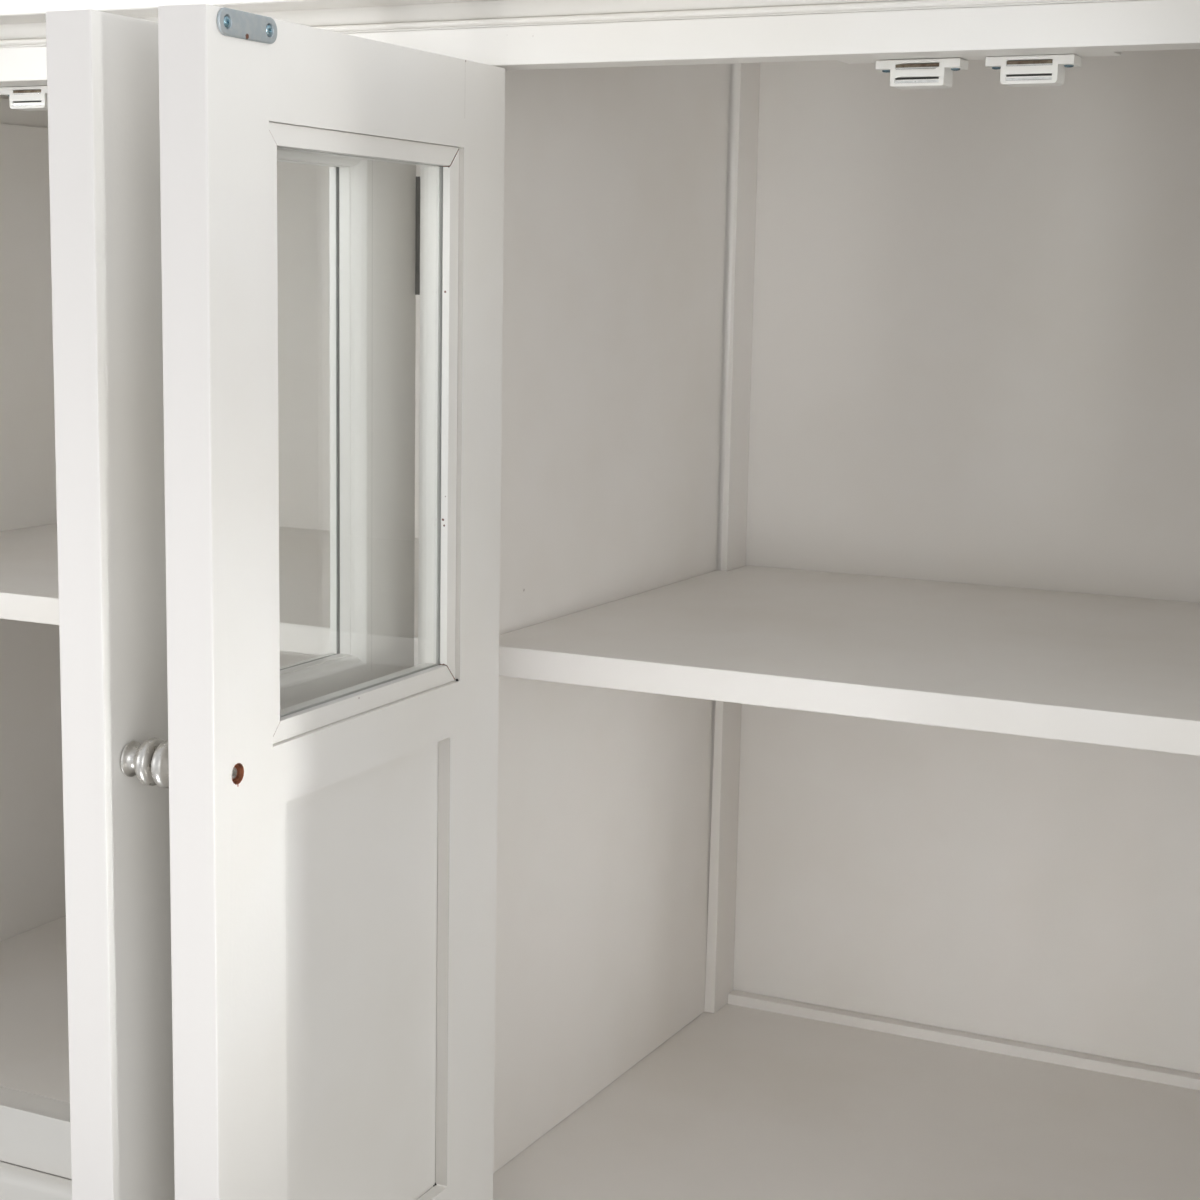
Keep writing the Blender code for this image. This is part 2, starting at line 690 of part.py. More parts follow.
def build_door_wood(name, hinge, place):
    """The frame of a door with its panel, glass and glazing bead."""
    u, n, t = place.u, place.n, place.t
    bm = bmesh.new()
    soften(bm, block(bm, u(0, DOOR_W), n(0, DOOR_T), (0, DOOR_H)), 2)
    frame = node(f"{name}_frame", bm, LACQUER, hinge)
    carve(frame, opening_cuts(place))
    cut = bmesh.new()
    for _, low in HINGES:
        x = u(-HINGE_GAP, LEAF_T - LEAF_PROUD + FIT)
        block(cut, x, n(-ARRIS, LEAF_D + FIT), (low - FIT, low + HINGE_L + FIT))
    for spot in plate_spots():
        at = (u(spot)[0], n(DOOR_T + ARRIS)[0], t(PLATE_H / 2)[0])
        rod(cut, at, (0, -1, 0), PLATE_SCREW_R + FIT, PLATE_SCREW_L + ARRIS, 8)
    at = (u(DOOR_W - KNOB_FROM_EDGE)[0], n(-ARRIS)[0], t(KNOB_BELOW_TOP)[0])
    rod(cut, at, (0, 1, 0), SCREW_HOLE_R, DOOR_T + 2 * ARRIS)
    carve(frame, cut)
    cut = bmesh.new()
    at = (at[0], n(DOOR_T + ARRIS)[0], at[2])
    rod(cut, at, (0, -1, 0), COUNTERBORE_R, COUNTERBORE_D + ARRIS, 16)
    carve(frame, cut)

    edge, panel_n = DOOR_STILE_W - DOOR_TONGUE, DOOR_T - PANEL_BELOW_FACE
    z = t(PANEL_TOP - DOOR_TONGUE, PANEL_BOTTOM + DOOR_TONGUE)
    bm = box(u(edge, DOOR_W - edge), n(panel_n - PANEL_T, panel_n), z)
    node(f"{name}_panel", bm, LACQUER, hinge)

    slack = RABBET_W - 2 * FIT
    edge, glass_n = DOOR_STILE_W - slack, DOOR_T - GLASS_BELOW_FACE
    z = t(GLASS_TOP - slack, GLASS_BOTTOM + slack)
    node(f"{name}_glass", box(u(edge, DOOR_W - edge), n(glass_n - GLASS_T, glass_n), z), GLASS, hinge)

    slack = RABBET_W - FIT
    edge, top_n = DOOR_STILE_W - slack, DOOR_T - BEAD_BELOW_FACE
    z = t(GLASS_TOP - slack, GLASS_BOTTOM + slack)
    bead = node(f"{name}_bead", box(u(edge, DOOR_W - edge), n(glass_n + FIT, top_n), z), LACQUER, hinge)
    steps = ((0, glass_n), (0, top_n - ARRIS), (ARRIS * 0.3, top_n - ARRIS * 0.3), (ARRIS, top_n), (ARRIS, top_n + ARRIS))
    cut = bmesh.new()
    play = slack - BEAD_W
    grown(cut, [place.ring(play + grow, level, GLASS_TOP, GLASS_BOTTOM) for grow, level in steps])
    carve(bead, cut)


def plate_spots():
    """Distances from the hinge edge to the two strike plate screws."""
    middle, half = DOOR_W - PLATE_FROM_EDGE - PLATE_L / 2, PLATE_HOLE_SPACING / 2
    return middle - half, middle + half


def build_door_metal(name, hinge, place):
    """The knob with its screw, the strike plate and the two moving hinge leaves."""
    u, n, t = place.u, place.n, place.t
    head = DOOR_T - COUNTERBORE_D + FIT
    shape = [(0, KNOB_TIP)] + [(radius, rise + FIT) for radius, rise in reversed(KNOB_PROFILE)]
    shape += [(SCREW_R, FIT), (SCREW_R, -head), (HEAD_R, -head), (HEAD_R, -head - HEAD_T * 0.6)]
    shape += [(HEAD_R * 0.7, -head - HEAD_T), (0, -head - HEAD_T)]
    at = (u(DOOR_W - KNOB_FROM_EDGE)[0], n(0)[0], t(KNOB_BELOW_TOP)[0])
    knob = turned(f"{name}_knob", shape, at, hinge, math.radians(90))
    add_material(knob, NICKEL)
    PARTS.objects.link(knob)

    bm = bmesh.new()
    y = n(DOOR_T + FIT, DOOR_T + FIT + PLATE_T)
    faces = block(bm, u(DOOR_W - PLATE_FROM_EDGE - PLATE_L, DOOR_W - PLATE_FROM_EDGE), y, t(0, PLATE_H))
    soften(bm, faces, 1, None, PLATE_H / 2 - FIT / 3, 6)
    plate = node(f"{name}_strike_plate", bm, ZINC, hinge)
    cut, shafts = bmesh.new(), bmesh.new()
    for spot in plate_spots():
        x, z = u(spot)[0], t(PLATE_H / 2)[0]
        rod(cut, (x, y[1] + ARRIS, z), (0, -1, 0), PLATE_HOLE_R, PLATE_T / 2 + ARRIS)
        rod(shafts, (x, y[0] + PLATE_T / 4, z), (0, -1, 0), PLATE_SCREW_R, PLATE_SCREW_L, 8)
    carve(plate, cut)
    carve(plate, shafts, "UNION")

    for spot, low in HINGES:
        bm = box(u(-LEAF_PROUD, LEAF_T - LEAF_PROUD), (0, n(LEAF_D)[0]), (low, low + HINGE_L))
        leaf = node(f"{name}_leaf_{spot}", bm, ZINC, hinge)
        barrel, bore = bmesh.new(), bmesh.new()
        rod(barrel, (0, 0, low), (0, 0, 1), BARREL_R, HINGE_L)
        carve(leaf, barrel, "UNION")
        carve(leaf, knuckle_gaps((0, 0), low, 0))
        rod(bore, (0, 0, low - FIT), (0, 0, 1), BORE_R, HINGE_L + 2 * FIT)
        carve(leaf, bore)


def build_door(name, pin_x, side, angle):
    """One door in its closed shape, parented to an empty on the pin that turns it open."""
    hinge = empty(name, (pin_x, PIN_Y, DOOR_BOTTOM_Z), -side * math.radians(angle), CARCASS)
    place = DoorFrame(side)
    build_door_wood(name, hinge, place)
    build_door_metal(name, hinge, place)


build_frame()
build_sides()
build_outline()
build_inside()
build_catches()
build_fixed_leaves()
for entry in door_pins():
    build_door(*entry)
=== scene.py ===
"""The looks of a white lacquered buffet with two pairs of half-glazed doors.

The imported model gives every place. Wooden parts are copies of its solids with softened
arrises. Beads, screws, knobs, hinges, mouldings and catches are modelled here in full.
"""

import json
import logging
import math
from collections.abc import Iterable, Sequence
from dataclasses import dataclass, field
from enum import Enum
from typing import Any, Union

import bmesh
import bpy
from mathutils import Matrix, Vector


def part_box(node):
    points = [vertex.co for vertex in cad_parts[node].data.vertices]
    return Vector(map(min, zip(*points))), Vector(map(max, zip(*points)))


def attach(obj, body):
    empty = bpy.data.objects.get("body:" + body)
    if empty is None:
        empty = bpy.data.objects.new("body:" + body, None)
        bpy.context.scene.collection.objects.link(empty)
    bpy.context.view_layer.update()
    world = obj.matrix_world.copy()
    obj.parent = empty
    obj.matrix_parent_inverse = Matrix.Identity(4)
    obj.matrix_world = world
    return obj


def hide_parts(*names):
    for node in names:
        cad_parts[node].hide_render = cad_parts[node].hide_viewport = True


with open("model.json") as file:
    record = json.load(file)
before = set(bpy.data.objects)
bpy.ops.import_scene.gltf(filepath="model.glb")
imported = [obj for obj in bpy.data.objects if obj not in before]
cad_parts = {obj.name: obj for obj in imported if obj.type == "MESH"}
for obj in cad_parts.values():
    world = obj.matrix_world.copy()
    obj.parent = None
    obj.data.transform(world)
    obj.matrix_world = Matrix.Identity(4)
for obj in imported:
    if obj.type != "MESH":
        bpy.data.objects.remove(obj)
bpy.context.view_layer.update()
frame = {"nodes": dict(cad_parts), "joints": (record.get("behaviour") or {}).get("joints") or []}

LOG = logging.getLogger("buffet")
MM = 0.001
Colour = tuple[float, float, float]
Place = tuple[float, float, float]
Section = list[tuple[float, float]]
Point = Sequence[float]
Edges = list[bmesh.types.BMEdge]
BARE_WOOD: Colour = (0.16, 0.055, 0.030)
FRESH_CHIP: Colour = (0.45, 0.17, 0.09)
# Near-black painted shade for open gaps.
PAINTED_GAP_SHADE: Colour = (0.012, 0.011, 0.010)
# Painted shade along the glass under the bead.
PAINTED_GLASS_SHADE: Colour = (0.10, 0.11, 0.105)
# Painted shade inside screw holes.
PAINTED_HOLE_SHADE: Colour = (0.02, 0.03, 0.035)
RAIL_CRACK: Colour = (0.22, 0.16, 0.12)
BEAD_CRACK: Colour = (0.17, 0.075, 0.05)
RUST: Colour = (0.13, 0.045, 0.022)
# Painted shade on the recess walls.
PAINTED_CORNER_SHADE: Colour = (0.42, 0.39, 0.35)
# Painted shade for the door's free edge.
PAINTED_EDGE_SHADE: Colour = (0.785, 0.750, 0.722)
DOWN: Place = (0.0, 0.0, -1.0)
NO_GRAIN: Place = (1.0, 1.0, 1.0)
LONG_GRAIN: Place = (1.0, 1.0, 8.0)


class Socket:
    """One output in a material, so that shader maths reads as Python."""

    def __init__(self, nodes: "Nodes", socket: bpy.types.NodeSocket) -> None:
        """Wrap a socket of the tree that is being built."""
        self.nodes = nodes
        self.socket = socket

    def _math(self, operation: str, *values: "Operand") -> "Socket":
        """Add a Math node and return its value."""
        node = self.nodes.add("ShaderNodeMath", {"operation": operation}, dict(enumerate(values)))
        return Socket(self.nodes, node.outputs[0])

    def __add__(self, other: "Operand") -> "Socket":
        """Sum."""
        return self._math("ADD", self, other)

    def __radd__(self, other: float) -> "Socket":
        """Sum with a number on the left."""
        return self._math("ADD", other, self)

    def __sub__(self, other: "Operand") -> "Socket":
        """Difference."""
        return self._math("SUBTRACT", self, other)

    def __rsub__(self, other: float) -> "Socket":
        """Difference with a number on the left."""
        return self._math("SUBTRACT", other, self)

    def __mul__(self, other: "Operand") -> "Socket":
        """Product."""
        return self._math("MULTIPLY", self, other)

    def __rmul__(self, other: float) -> "Socket":
        """Product with a number on the left."""
        return self._math("MULTIPLY", other, self)

    def __abs__(self) -> "Socket":
        """Size without sign."""
        return self._math("ABSOLUTE", self)

    def larger(self, other: "Operand") -> "Socket":
        """The larger of two values."""
        return self._math("MAXIMUM", self, other)

    def smaller(self, other: "Operand") -> "Socket":
        """The smaller of two values."""
        return self._math("MINIMUM", self, other)

    def fade(self, start: float, end: float, low: float = 0.0, high: float = 1.0) -> "Socket":
        """Map start..end smoothly to low..high and hold the ends.

        Args:
            start: Value that gives low.
            end: Value that gives high.
            low: Result at start.
            high: Result at end.

        Returns:
            The mapped value.
        """
        if start > end:
            start, end, low, high = end, start, high, low
        settings = {"interpolation_type": "SMOOTHSTEP", "clamp": True}
        inputs = {"Value": self, "From Min": start, "From Max": end, "To Min": low, "To Max": high}
        return Socket(self.nodes, self.nodes.add("ShaderNodeMapRange", settings, inputs).outputs[0])


Operand = Union[Socket, float]


class Nodes:
    """Adds and links the nodes of one tree."""

    def __init__(self, tree: bpy.types.NodeTree) -> None:
        """Take the tree of a material or of the world."""
        self.tree = tree

    def add(self, kind: str, settings: Union[dict[str, Any], None] = None,
            inputs: Union[dict[Any, Any], None] = None) -> bpy.types.Node:
        """Add any node.

        Args:
            kind: Type name of the node.
            settings: Properties, set before the inputs.
            inputs: Values or links, by socket name or number.

        Returns:
            The new node.
        """
        node = self.tree.nodes.new(kind)
        for key, value in (settings or {}).items():
            setattr(node, key, value)
        for key, value in (inputs or {}).items():
            self.feed(node.inputs[key], value)
        return node

    def feed(self, socket: bpy.types.NodeSocket, value: Any) -> None:
        """Link a socket, or set the value that it holds.

        Args:
            socket: Input to feed.
            value: A socket, a number or a vector. A colour may come without its alpha.
        """
        if isinstance(value, Socket):
            self.tree.links.new(value.socket, socket)
        elif isinstance(value, bpy.types.NodeSocket):
            self.tree.links.new(value, socket)
        elif socket.type == "RGBA" and len(value) == 3:
            socket.default_value = (*value, 1.0)
        else:
            socket.default_value = value

    def ray(self, kind: str) -> Socket:
        """Whether the present ray is of this kind, as the Light Path node names it."""
        return Socket(self, self.add("ShaderNodeLightPath").outputs[kind])


class Paint(Nodes):
    """Builds the nodes of one material round a Principled shader."""

    def __init__(self, name: str) -> None:
        """Start a material that holds a Principled shader and its output.

        Args:
            name: Name of the material.
        """
        self.material = bpy.data.materials.new(name)
        self.material.use_nodes = True
        super().__init__(self.material.node_tree)
        self.shader = self.tree.nodes["Principled BSDF"]
        self.output = self.tree.nodes["Material Output"]
        self._place: Union[Socket, None] = None

    def set(self, **values: Any) -> None:
        """Set or link inputs of the Principled shader, named with underscores."""
        for key, value in values.items():
            self.feed(self.shader.inputs[key.replace("_", " ").title().replace("Ior", "IOR")], value)

    def place(self) -> Socket:
        """The point in the frame that every piece shares.

        Returns:
            Its coordinates.
        """
        if self._place is None:
            self._place = Socket(self, self.add("ShaderNodeTexCoord").outputs["Object"])
        return self._place

    def stretched(self, scale: Point) -> Socket:
        """The place scaled by axis, for patterns that run along one."""
        node = self.add("ShaderNodeMapping", {}, {"Vector": self.place(), "Scale": tuple(scale)})
        return Socket(self, node.outputs[0])

    def noise(self, per_metre: float, detail: float = 2.0, at: Union[Socket, None] = None) -> Socket:
        """Soft noise from 0 to 1.

        Args:
            per_metre: Blotches in a metre.
            detail: Octaves of finer noise.
            at: Coordinates, if not the plain place.

        Returns:
            The noise value.
        """
        inputs = {"Vector": at or self.place(), "Scale": per_metre, "Detail": detail, "Roughness": 0.55}
        return Socket(self, self.add("ShaderNodeTexNoise", {}, inputs).outputs["Fac"])

    def _measure(self, operation: str, vector: Vector) -> Socket:
        """Work out a number from the place and a vector.

        Args:
            operation: What the Vector Math node does.
            vector: The second vector.

        Returns:
            The number.
        """
        inputs = {0: self.place(), 1: tuple(vector)}
        node = self.add("ShaderNodeVectorMath", {"operation": operation}, inputs)
        return Socket(self, node.outputs["Value"])

    def along(self, point: Vector, direction: Vector) -> Socket:
        """Distance of the place from a point, measured along a direction."""
        return self._measure("DOT_PRODUCT", direction) - point.dot(direction)

    def distance(self, point: Vector) -> Socket:
        """Distance of the place from a point."""
        return self._measure("DISTANCE", point)

    def mix(self, factor: Operand, first: Any, second: Any) -> Socket:
        """Blend two colours."""
        node = self.add("ShaderNodeMix", {"data_type": "RGBA"}, {0: factor, 6: first, 7: second})
        return Socket(self, node.outputs[2])

    def bump(self, height: Socket, depth: float, below: Union[Socket, None] = None) -> Socket:
        """Turn a height into a normal.

        Args:
            height: Height from 0 to 1.
            depth: How many metres that span stands for.
            below: Normal of the layer below.

        Returns:
            The normal.
        """
        inputs: dict[str, Any] = {"Height": height, "Distance": depth}
        if below is not None:
            inputs["Normal"] = below
        return Socket(self, self.add("ShaderNodeBump", {}, inputs).outputs[0])


def shaded(colour: Colour, share: Colour) -> Colour:
    """A colour with each of its channels scaled."""
    return tuple(value * part for value, part in zip(colour, share))


@dataclass(frozen=True)
class Mark:
    """A small blemish or spot of painted shade: where it is, how far it reaches, how strong it is and its
    colour.
    """

    at: Place
    radius: float
    strength: float = 1.0
    colour: Colour = BARE_WOOD
    ragged: float = 1.6

    def mask(self, paint: Paint) -> Socket:
        """Find how strongly each point is marked.

        Args:
            paint: The material that shows the mark.

        Returns:
            Values from 0 to the mark's strength.
        """
        reach = paint.distance(Vector(self.at))
        if self.ragged:
            reach = reach + (paint.noise(1.6 / self.radius, 3.0) - 0.5) * (self.radius * self.ragged)
        return reach.fade(self.radius, self.radius * 0.6, 0.0, self.strength)


@dataclass(frozen=True)
class Seam:
    """A straight line in the lacquer, such as a hairline joint, a line of painted shade in a corner and a
    band of it down an edge.

    It has a point where it starts, the way across it and the stretch along it. A broken line
    comes and goes, and a ragged one wavers. The core is the part of its width at full strength.
    """

    at: Place
    across: Place
    along: Place
    length: float
    width: float = 0.35 * MM
    strength: float = 0.8
    colour: Colour = BARE_WOOD
    broken: bool = True
    core: float = 0.3
    ragged: float = 0.0

    def mask(self, paint: Paint) -> Socket:
        """Find how strongly each point lies in the line.

        Args:
            paint: The material that shows the line.

        Returns:
            Values from 0 to the line's strength.
        """
        point = Vector(self.at)
        reach = abs(paint.along(point, Vector(self.across)))
        if self.ragged:
            reach = reach + (paint.noise(260.0, 3.0) - 0.5) * self.ragged
        line = reach.fade(self.width, self.width * self.core)
        span = paint.along(point, Vector(self.along))
        soft_end = 0.5 * MM
        inside = span.fade(-soft_end, 0.0) * span.fade(self.length, self.length - soft_end)
        if self.broken:
            return line * inside * paint.noise(900.0, 3.0).fade(0.3, 0.65, 0.2, self.strength)
        return line * inside * self.strength


Blemishes = tuple[Union[Mark, Seam], ...]


@dataclass(frozen=True)
class Lacquer:
    """Sprayed satin lacquer with faint orange peel, broken where it was knocked and darkened where painted
    shade is laid on.
    """

    name: str
    colour: Colour = (0.865, 0.841, 0.802)
    roughness: float = 0.33
    blemishes: Blemishes = ()
    dull_share: Colour = (0.965, 0.957, 0.941)
    uneven: float = 0.03
    worn_roughness: float = 0.25
    peel: float = 0.035 * MM
    peel_per_metre: float = 420.0
    drift_per_metre: float = 7.0

    def make(self) -> bpy.types.Material:
        """Build the material.

        Returns:
            The finished material.
        """
        paint = Paint(self.name)
        drift = paint.noise(self.drift_per_metre, 3.0)
        cloudy = paint.noise(self.drift_per_metre * 9, 2.0)
        dull = shaded(self.colour, self.dull_share)
        colour = paint.mix(drift.fade(0.35, 0.75), self.colour, dull)
        rough = drift.fade(0.3, 0.7, self.roughness - self.uneven, self.roughness + self.uneven)
        rough = rough + cloudy.fade(0.4, 0.7, 0.0, self.uneven)
        normal = paint.bump(paint.noise(self.peel_per_metre, 1.0), self.peel)
        for blemish in self.blemishes:
            mask = blemish.mask(paint)
            colour = paint.mix(mask, colour, blemish.colour)
            rough = rough + mask * self.worn_roughness
        paint.set(base_color=colour, roughness=rough, normal=normal)
        return paint.material


@dataclass(frozen=True)
class Metal:
    """Plated steel with a faint rolled grain and patchy plating."""

    name: str
    colour: Colour
    stain: Colour
    roughness: float
    grain: Place = LONG_GRAIN
    grain_per_metre: float = 900.0
    grain_depth: float = 0.01 * MM
    patch_per_metre: float = 260.0
    rusty_roughness: float = 0.3
    blemishes: tuple[Mark, ...] = ()

    def make(self) -> bpy.types.Material:
        """Build the material.

        Returns:
            The finished material.
        """
        paint = Paint(self.name)
        grain = paint.noise(self.grain_per_metre, 3.0, paint.stretched(self.grain))
        patch = paint.noise(self.patch_per_metre, 3.0)
        colour = paint.mix(patch.fade(0.35, 0.7), self.colour, self.stain)
        rough = self.roughness + patch.fade(0.3, 0.7, -0.05, 0.08) + grain * 0.08
        shine: Operand = 1.0
        # The marks darken the metal: rust, and painted shade in screw holes.
        for blemish in self.blemishes:
            mask = blemish.mask(paint)
            colour = paint.mix(mask, colour, blemish.colour)
            rough = rough + mask * self.rusty_roughness
            shine = shine * (1.0 - mask)
        normal = paint.bump(grain, self.grain_depth)
        paint.set(base_color=colour, roughness=rough, metallic=shine, normal=normal)
        return paint.material


@dataclass(frozen=True)
class PaintedSteel:
    """Steel that was sprayed with the wood, bare where the lacquer has gone; the bare steel's very dark
    colour is a painted dark reflection.
    """

    name: str
    bare: Blemishes
    lacquer: Colour = (0.80, 0.785, 0.75)
    # Very dark for steel: painted dark reflection on the bare barrel.
    steel: Colour = (0.105, 0.105, 0.10)
    grain_depth: float = 0.01 * MM

    def make(self) -> bpy.types.Material:
        """Build the material.

        Returns:
            The finished material.
        """
        paint = Paint(self.name)
        grain = paint.noise(900.0, 3.0, paint.stretched(LONG_GRAIN))
        bare_painted_dark: Operand = 0.0
        for spot in self.bare:
            bare_painted_dark = spot.mask(paint).larger(bare_painted_dark)
        paint.set(
            base_color=paint.mix(bare_painted_dark, self.lacquer, self.steel),
            roughness=0.36 + bare_painted_dark * 0.1 + grain * 0.06,
            metallic=bare_painted_dark * 0.7,
            normal=paint.bump(grain, self.grain_depth),
        )
        return paint.material


@dataclass(frozen=True)
class Plastic:
    """Moulded plastic with a fine spark texture."""

    name: str
    colour: Colour = (0.85, 0.84, 0.81)
    roughness: float = 0.42
    yellow_share: Colour = (0.98, 0.96, 0.92)
    spark_depth: float = 0.015 * MM

    def make(self) -> bpy.types.Material:
        """Build the material.

        Returns:
            The finished material.
        """
        paint = Paint(self.name)
        fine = paint.noise(2600.0, 2.0)
        broad = paint.noise(60.0, 2.0)
        paint.set(
            base_color=paint.mix(broad, self.colour, shaded(self.colour, self.yellow_share)),
            roughness=self.roughness + fine * 0.08,
            normal=paint.bump(fine, self.spark_depth),
        )
        return paint.material


@dataclass(frozen=True)
class Wood:
    """Bare reddish wood, as in the screw's counterbore and at an open mitre."""

    name: str
    light: Colour = (0.40, 0.145, 0.070)
    dark: Colour = (0.11, 0.034, 0.018)
    pores: Place = (1.0, 1.0, 0.12)
    pore_depth: float = 0.1 * MM

    def make(self) -> bpy.types.Material:
        """Build the material.

        Returns:
            The finished material.
        """
        paint = Paint(self.name)
        grain = paint.noise(700.0, 4.0, paint.stretched(self.pores))
        paint.set(
            base_color=paint.mix(grain.fade(0.3, 0.7), self.light, self.dark),
            roughness=grain.fade(0.2, 0.8, 0.6, 0.8),
            normal=paint.bump(grain, self.pore_depth),
        )
        return paint.material


@dataclass(frozen=True)
class Glass:
    """Clear float glass with a faint green tint. Lamps shine through it."""

    name: str
    tint: Colour = (0.975, 0.985, 0.978)
    ior: float = 1.5

    def make(self) -> bpy.types.Material:
        """Build the material.

        Returns:
            The finished material.
        """
        paint = Paint(self.name)
        smear = paint.noise(14.0, 3.0)
        paint.set(base_color=self.tint, roughness=smear.fade(0.5, 0.8, 0.0, 0.012))
        paint.shader.inputs["IOR"].default_value = self.ior
        paint.shader.inputs["Transmission Weight"].default_value = 1.0
        clear = paint.add("ShaderNodeBsdfTransparent", {}, {"Color": self.tint})
        inputs = {0: paint.ray("Is Shadow Ray"), 1: paint.shader.outputs[0], 2: clear.outputs[0]}
        mixed = paint.add("ShaderNodeMixShader", {}, inputs)
        paint.feed(paint.output.inputs["Surface"], mixed.outputs[0])
        return paint.material


class Body(Enum):
    """The bodies that pieces ride on."""

    CARCASS = "carcass"
    DOOR_1 = "door_1"
    DOOR_2 = "door_2"
    DOOR_3 = "door_3"
    DOOR_4 = "door_4"


class Slot(Enum):
    """The record's material slot names, passed along with the pieces made here."""

    LACQUER = "lacquer"
    ZINC = "zinc"
    NICKEL = "nickel"
    PLASTIC = "catch_plastic"


class Shape:
    """A mesh under construction."""

    def __init__(self) -> None:
        """Start with nothing."""
        self.bm = bmesh.new()

    def box(self, low: Point, high: Point, soft: float) -> None:
        """Add a box with rounded edges.

        Args:
            low: Lowest corner.
            high: Highest corner.
            soft: Radius of the edges.
        """
        low, high = Vector(map(min, low, high)), Vector(map(max, low, high))
        place = Matrix.Translation((low + high) / 2) @ Matrix.Diagonal((*(high - low), 1))
        made = bmesh.ops.create_cube(self.bm, size=1, matrix=place)["verts"]
        self._round(list({edge for vert in made for edge in vert.link_edges}), soft)

    def _round(self, edges: Edges, radius: float) -> None:
        """Round edges in two steps.

        Args:
            edges: The edges.
            radius: Their radius.
        """
        bmesh.ops.bevel(
            self.bm, geom=edges, offset=radius, segments=2, profile=0.5,
            affect="EDGES", material=-1, clamp_overlap=True,
        )

    def turned(self, profile: Section, steps: int, place: Matrix) -> None:
        """Spin a profile of radii and heights round Z, then move it into place.

        Args:
            profile: Radii and heights, from one end to the other.
            steps: Steps of the full turn.
            place: Where the turned piece goes.
        """
        bm = bmesh.new()
        points = [bm.verts.new((radius, 0, height)) for radius, height in profile]
        edges = [bm.edges.new(pair) for pair in zip(points, points[1:])]
        bmesh.ops.spin(
            bm, geom=points + edges, axis=(0, 0, 1), cent=(0, 0, 0), angle=math.tau,
            steps=steps, use_merge=True,
        )
        bmesh.ops.remove_doubles(bm, verts=bm.verts, dist=0.01 * MM)
        bmesh.ops.recalc_face_normals(bm, faces=bm.faces)
        bmesh.ops.transform(bm, matrix=place, verts=bm.verts)
        self._join(bm)

    def walls(self, rings: Sequence[Sequence[Point]]) -> list[Edges]:
        """Join closed rings of points by bands of faces.

        Args:
            rings: Rings that hold the same number of points.

        Returns:
            The edges of each ring.
        """
        loops = []
        for ring in rings:
            verts = [self.bm.verts.new(point) for point in ring]
            loops.append([self.bm.edges.new(pair) for pair in zip(verts, verts[1:] + verts[:1])])
        for first, second in zip(loops, loops[1:]):
            bmesh.ops.bridge_loops(self.bm, edges=first + second)
        return loops

    def fill(self, *loops: Edges) -> None:
        """Close the plane between loops of edges."""
        edges = [edge for loop in loops for edge in loop]
        bmesh.ops.triangle_fill(self.bm, use_beauty=True, edges=edges)

    def loft(self, rings: Sequence[Sequence[Point]]) -> None:
        """Extrude a face through rings of points.

        Args:
            rings: Rings that hold the same number of points, from the first end to the last.
        """
        bm = bmesh.new()
        face = bm.faces.new([bm.verts.new(point) for point in rings[0]])
        for step, ring in enumerate(rings[1:]):
            last = face
            made = bmesh.ops.extrude_face_region(bm, geom=[last])["geom"]
            face = next(item for item in made if isinstance(item, bmesh.types.BMFace))
            if step:
                bmesh.ops.delete(bm, geom=[last], context="FACES_ONLY")
            for loop, point in zip(face.loops, ring):
                loop.vert.co = point
        bmesh.ops.recalc_face_normals(bm, faces=bm.faces)
        self._join(bm)

    def take(self, other: "Shape", place: Union[Matrix, None] = None) -> None:
        """Take in another shape.

        Args:
            other: The shape, which is used up.
            place: Moves it first.
        """
        if place is not None:
            other.move(place)
        self._join(other.bm)

    def _join(self, bm: bmesh.types.BMesh) -> None:
        """Take in another bmesh and free it.

        Args:
            bm: The other bmesh.
        """
        mesh = bpy.data.meshes.new("joined")
        bm.to_mesh(mesh)
        bm.free()
        self.bm.from_mesh(mesh)
        bpy.data.meshes.remove(mesh)

    def move(self, place: Matrix) -> None:
        """Move everything made so far.

        Args:
            place: The move. A mirror turns the faces back outwards.
        """
        bmesh.ops.transform(self.bm, matrix=place, verts=self.bm.verts)
        if place.determinant() < 0:
            bmesh.ops.reverse_faces(self.bm, faces=self.bm.faces)

    def done(self, name: str, body: Body, slot: Slot, materials: Sequence[bpy.types.Material],
             replaces: Iterable[str] = (), sharp: float = 38.0) -> None:
        """Make the object, dress it and let it ride on its body.

        Args:
            name: Name of the piece.
            body: The body that carries it.
            slot: Not used.
            materials: The materials that its faces use.
            replaces: Nodes that it stands for.
            sharp: Faces that meet at more degrees than this keep a crisp edge.
        """
        mesh = bpy.data.meshes.new(name)
        self.bm.to_mesh(mesh)
        self.bm.free()
        mesh.shade_smooth()
        mesh.set_sharp_from_angle(angle=math.radians(sharp))
        for material in materials:
            mesh.materials.append(material)
        piece = bpy.data.objects.new(name, mesh)
        bpy.context.scene.collection.objects.link(piece)
        even = piece.modifiers.new("even_shading", "WEIGHTED_NORMAL")
        even.keep_sharp = True
        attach(piece, body.value)
        if replaces:
            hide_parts(*replaces)
        LOG.info("%s on %s", name, body.value)


